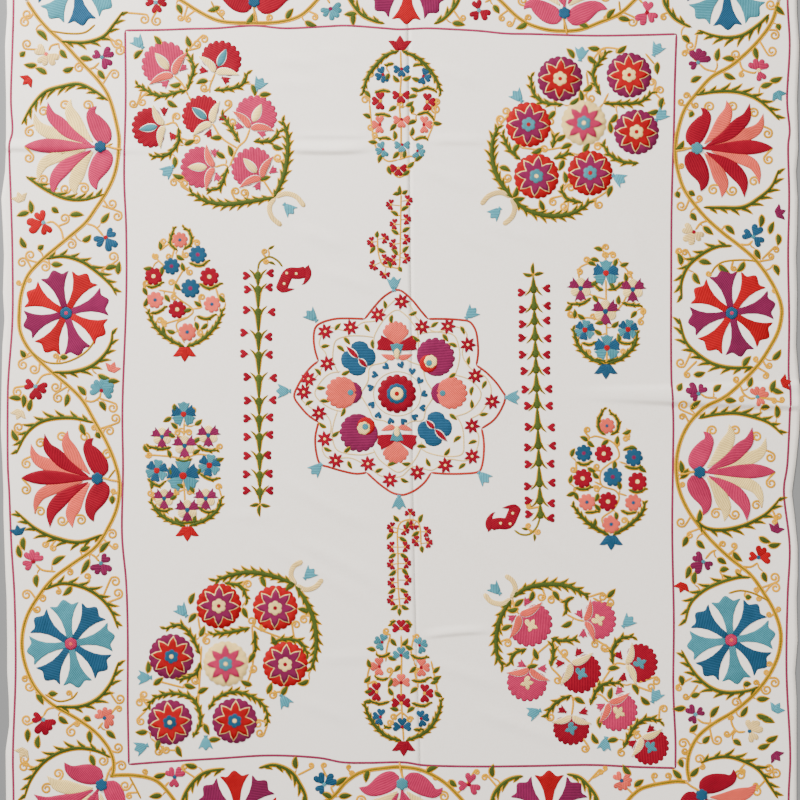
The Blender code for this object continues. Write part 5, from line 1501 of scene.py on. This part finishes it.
def make_stalk(name, foot, head, up, hearts, hook, sprig_leaves, sprig_curls):
    """A tall stalk of cups, each a green wedge with two arms, with a heart off every arm, leaves
    at its foot, and a hooked stem that ends in a bent flower."""
    work = Needlework(name)
    work.stem((foot, head), 0.3, "olive")
    hearts = pairs(hearts)
    levels = np.append((hearts[::2, 1] + hearts[1::2, 1]) / 2, head[1])
    low, high = (foot, head) if up < 0 else (head, foot)
    spine = np.interp(levels, (low[1], high[1]), (low[0], high[0]))
    for x, level, x_below, below in zip(spine, levels, spine[1:], levels[1:]):
        lip, root = np.array((x, level + 0.5 * up)), np.array((x_below, below + 0.6 * up))
        wedge = (root, (root + lip) / 2, lip)
        work.band(wedge, 1.02, "gold", lambda t: t * 0.66 + 0.34, 0, 0.4)
        work.band(wedge, 0.80, "green", lambda t: t * 0.74 + 0.26, 1, 0.4)
        for side in (-1, 1):
            arm = [lip + (side * out, up * rise) for out, rise in ((0.3, -1.4), (0.85, -0.3), (1.7, 0.5))]
            work.band(arm, 0.42, "gold", taper_shape, 0, 0.4)
            work.band(arm, 0.23, "green", taper_shape, 1, 0.4)
    for number, at in enumerate(hearts):
        side = 1 if number % 2 else -1
        work.line((at - (side * 1.0, 0.25 * up), at), 0.13, "gold")
        work.heart(at, 0 if side > 0 else 180, 0.85, "crimson")
    for turn in (-90, 0, 180):
        way = np.array((math.cos(math.radians(turn)), up * math.sin(math.radians(turn))))
        work.leaf(head, np.array(head) + 2.1 * way + (0, -0.45 * up), 0.5)
    work.stem(hook, 0.24, "olive")
    work.leaves(sprig_leaves, 1.8, 0.35)
    work.curls(sprig_curls, 0.5)
    bird_flower(work, hook[-2:], 0 if up > 0 else 180)
    return work.finish()


def make_medallion():
    """The star medallion: outline, flowered band, eight lobes and the flower in the middle."""
    work = Needlework("medallion")
    for points in STAR_ARMS:
        work.line(points, 0.25, "brick", step=0.5)
    for points in (*LOBE_LINES, STAR_VINE, INNER_LINE):
        work.stem(points, 0.14, "beige")
    around = np.radians(np.arange(0, 361, 30))
    work.stem(np.column_stack([4.55 * np.cos(around) - 0.6, 4.2 * np.sin(around) + 0.9]), 0.1, "beige")
    for number, at in enumerate(pairs(STAR_FLOWERS)):
        work.disc(at, 1.65, "crimson", 7, 0.50, 51 * number, 0, True)
        work.dot(at, 0.3, "cream")
    work.leaves(STAR_LEAVES, 1.9, 0.5, False)
    work.leaves(INNER_LEAVES, 2.0, 0.52, False)
    for layer, (radius, thread, lobes, depth) in enumerate(MIDDLE_DISCS):
        work.disc((-0.7, 0.9), radius, thread, lobes, depth, layer=layer)
    for at in pairs(RING_HEARTS):
        work.heart(at, towards((-0.6, 0.9), at) + 30, 0.72, "indigo")
    for up, y in ((1, 0.35), (-1, 1.9)):
        def spot(x, height):
            return np.array((x, y + up * height))
        work.shell(spot(-0.9, 9.4), 90 * up, 5.1, 44, "salmon", 7, 0.07, 0.9)
        for side in (-1, 1):
            turn = 90 * up - side * up * 72
            work.fan(spot(-0.7, 9.2), turn, 0.4, 4.0, 0.5, 1.5, "crimson", 3, 0.08, 0.10, 0.6, 1)
            points = [spot(-0.7 + side * out, height) for out, height in ((0.3, 7.3), (1.6, 7.5), (3.0, 8.0))]
            work.petal(points, 0.6, "salmon", full_shape)
        work.fan(spot(-0.7, 7.6), 90 * up, 0.3, 2.6, 0.5, 1.35, "teal", 3, 0.05, 0.1, 0.8, 2)
        work.fan(spot(-0.7, 7.0), 90 * up, 0.1, 2.2, 0.2, 0.6, "cream", 1, 0.1, 0.3, 0.8, 3)
    for centre, away in (((-8, 7.6), 135), ((6.5, -5.8), -45)):
        for side in (-1, 1):
            work.shell(centre, away + 90 * side, 3.5, 85, "indigo", 2, 0.17, 0.08)
        for reach, start in ((3.3, 0.1), (2.4, 180.1)):
            near, far = turned(((0.1, 0), (reach, 0)), centre, away + start)
            work.petal((near, (near + far) / 2, far), 0.7, "white", leaf_shape, 1)
            work.petal((near, (near + far) / 2, far), 0.5, "crimson", leaf_shape, 2)
    for centre, away in (((4.6, 6.0), 42), ((-5.9, -4.6), 224)):
        work.shell(turned((-0.6, 0), centre, away), away, 7.2, 80, "plum", 13, 0.06, 0.8)
        work.disc(turned((0.9, 0), centre, away), 1.75, "scarlet", layer=1)
        work.disc(turned((1.5, 0), centre, away), 1.3, "cream", 7, 0.12, layer=2)
        work.disc(turned((1.1, 0), centre, away), 0.65, "teal", layer=3)
    for centre, away in (((-8.3, 1.1), 180), ((6.8, 1.0), 0)):
        work.disc(turned((1.1, 0), centre, away), 2.2, "plum")
        work.shell(centre, away, 6.1, 72, "salmon", 11, 0.07, 0.9, 1)
        work.disc(turned((1.2, 0), centre, away), 0.62, "teal", layer=2)
    for x, y, turn in TUFTS_ROUND_STAR:
        work.tuft((x, y), turn, "sky", 1.4)
    return work.finish()


def make_seam():
    """Slanting whip stitches that close the seam between the two panels."""
    work = Needlework("seam_stitches")
    for y in np.arange(-SEAM_END, SEAM_END + 0.2, SEAM_PITCH):
        x = float(outline_at(y * CM, SEAM)) / CM
        lean = rng.uniform(-0.05, 0.05)
        points = (x - SEAM_REACH, y - SEAM_REACH + lean, x, y, x + SEAM_REACH, y + SEAM_REACH + lean)
        work.band(points, SEAM_HALF_WIDTH, "white", even, 0, 0.2, height=SEAM_HEIGHT)
    return work.finish()


left_pieces = [
    make_corner("corner_top_left", TOP_LEFT, CARNATIONS_TOP_LEFT, False),
    make_corner("corner_bottom_left", BOTTOM_LEFT, ROSETTES_BOTTOM_LEFT),
    make_oval("oval_top_left", OVAL_TOP_LEFT, -90),
    make_oval("oval_bottom_left", OVAL_BOTTOM_LEFT, -90),
    make_stalk("stalk_left", (-27.1, 24.6), (-26.7, -20), 1, STALK_LEFT_HEARTS,
               (-27.1, 24.4, -26.7, 25.9, -25, 26.9, -23.4, 26.2, -22.4, 25),
               ((-25.2, 28.3, -23.9, 29.1), (-25.2, 25.9, -23.7, 25.3)), ((-25.8, 27.9), (-25.5, 26))),
    make_oval("oval_top", OVAL_TOP, 90),
    make_crook("crook_top", *CROOK_TOP),
    make_medallion(),
]
right_pieces = [
    make_corner("corner_top_right", TOP_RIGHT, ROSETTES_TOP_RIGHT),
    make_corner("corner_bottom_right", BOTTOM_RIGHT, CARNATIONS_BOTTOM_RIGHT, True),
    make_oval("oval_top_right", OVAL_TOP_RIGHT, -90),
    make_oval("oval_bottom_right", OVAL_BOTTOM_RIGHT, -90),
    make_stalk("stalk_right", (26.6, -22.8), (25.2, 23.4), -1, STALK_RIGHT_HEARTS,
               (26.5, -22.6, 25.8, -24.5, 24.4, -25.8, 22.8, -25.8, 21.6, -25),
               ((24.3, -24.9, 22.9, -24.6), (25.3, -25.6, 25.4, -27.2)),
               ((24.3, -24.2), (26.1, -25.3), (24.4, -20.4))),
    make_oval("oval_low", OVAL_LOW, -90),
    make_crook("crook_low", *CROOK_LOW),
    make_guards(),
    make_seam(),
]
left_pieces += make_border(make_vine())

panel_left = make_panel("ground_left", "panel_left", LEFT, SEAM, 0.0, SEAM_GAP / 2)
panel_right = make_panel("ground_right", "panel_right", SEAM, RIGHT, SEAM_GAP / 2, 0.0)


def make_floor():
    """Plain pale floor just under the cloth."""
    mesh = bpy.data.meshes.new("floor")
    mesh.from_pydata([(-4, -4, 0), (4, -4, 0), (4, 4, 0), (-4, 4, 0)], [], [(0, 1, 2, 3)])
    paint = {"Base Color": (0.18, 0.18, 0.177, 1.0), "Roughness": 0.8}
    material, _, _ = new_material("floor_paint", paint)
    new_object("floor", mesh, material)


def make_light(name, place, size, power):
    """A soft square light that looks at the middle of the cloth."""
    light = bpy.data.lights.new(name, "AREA")
    light.size = size
    light.energy = power
    lamp = add_object(name, light)
    lamp.location = place
    lamp.rotation_euler = (-Vector(place)).to_track_quat("-Z", "Y").to_euler()


def make_camera():
    """A long lens straight above the cloth, framed as the photograph is."""
    camera = bpy.data.cameras.new("camera")
    camera.lens = 100.0
    camera.sensor_width = 36.0
    eye = add_object("camera", camera)
    eye.location = (-0.001, -0.003, 4.222)
    bpy.context.scene.camera = eye


make_floor()
make_light("key", (-2.1, 2.6, 2.0), 1.2, 372.0)
make_light("fill", (2.2, -1.8, 3.0), 2.6, 75.0)
make_camera()
world = bpy.data.worlds.new("studio")
world.use_nodes = True
sky = world.node_tree.nodes["Background"].inputs
sky["Color"].default_value = (1.0, 0.99, 0.98, 1.0)
sky["Strength"].default_value = 0.77
bpy.context.scene.world = world
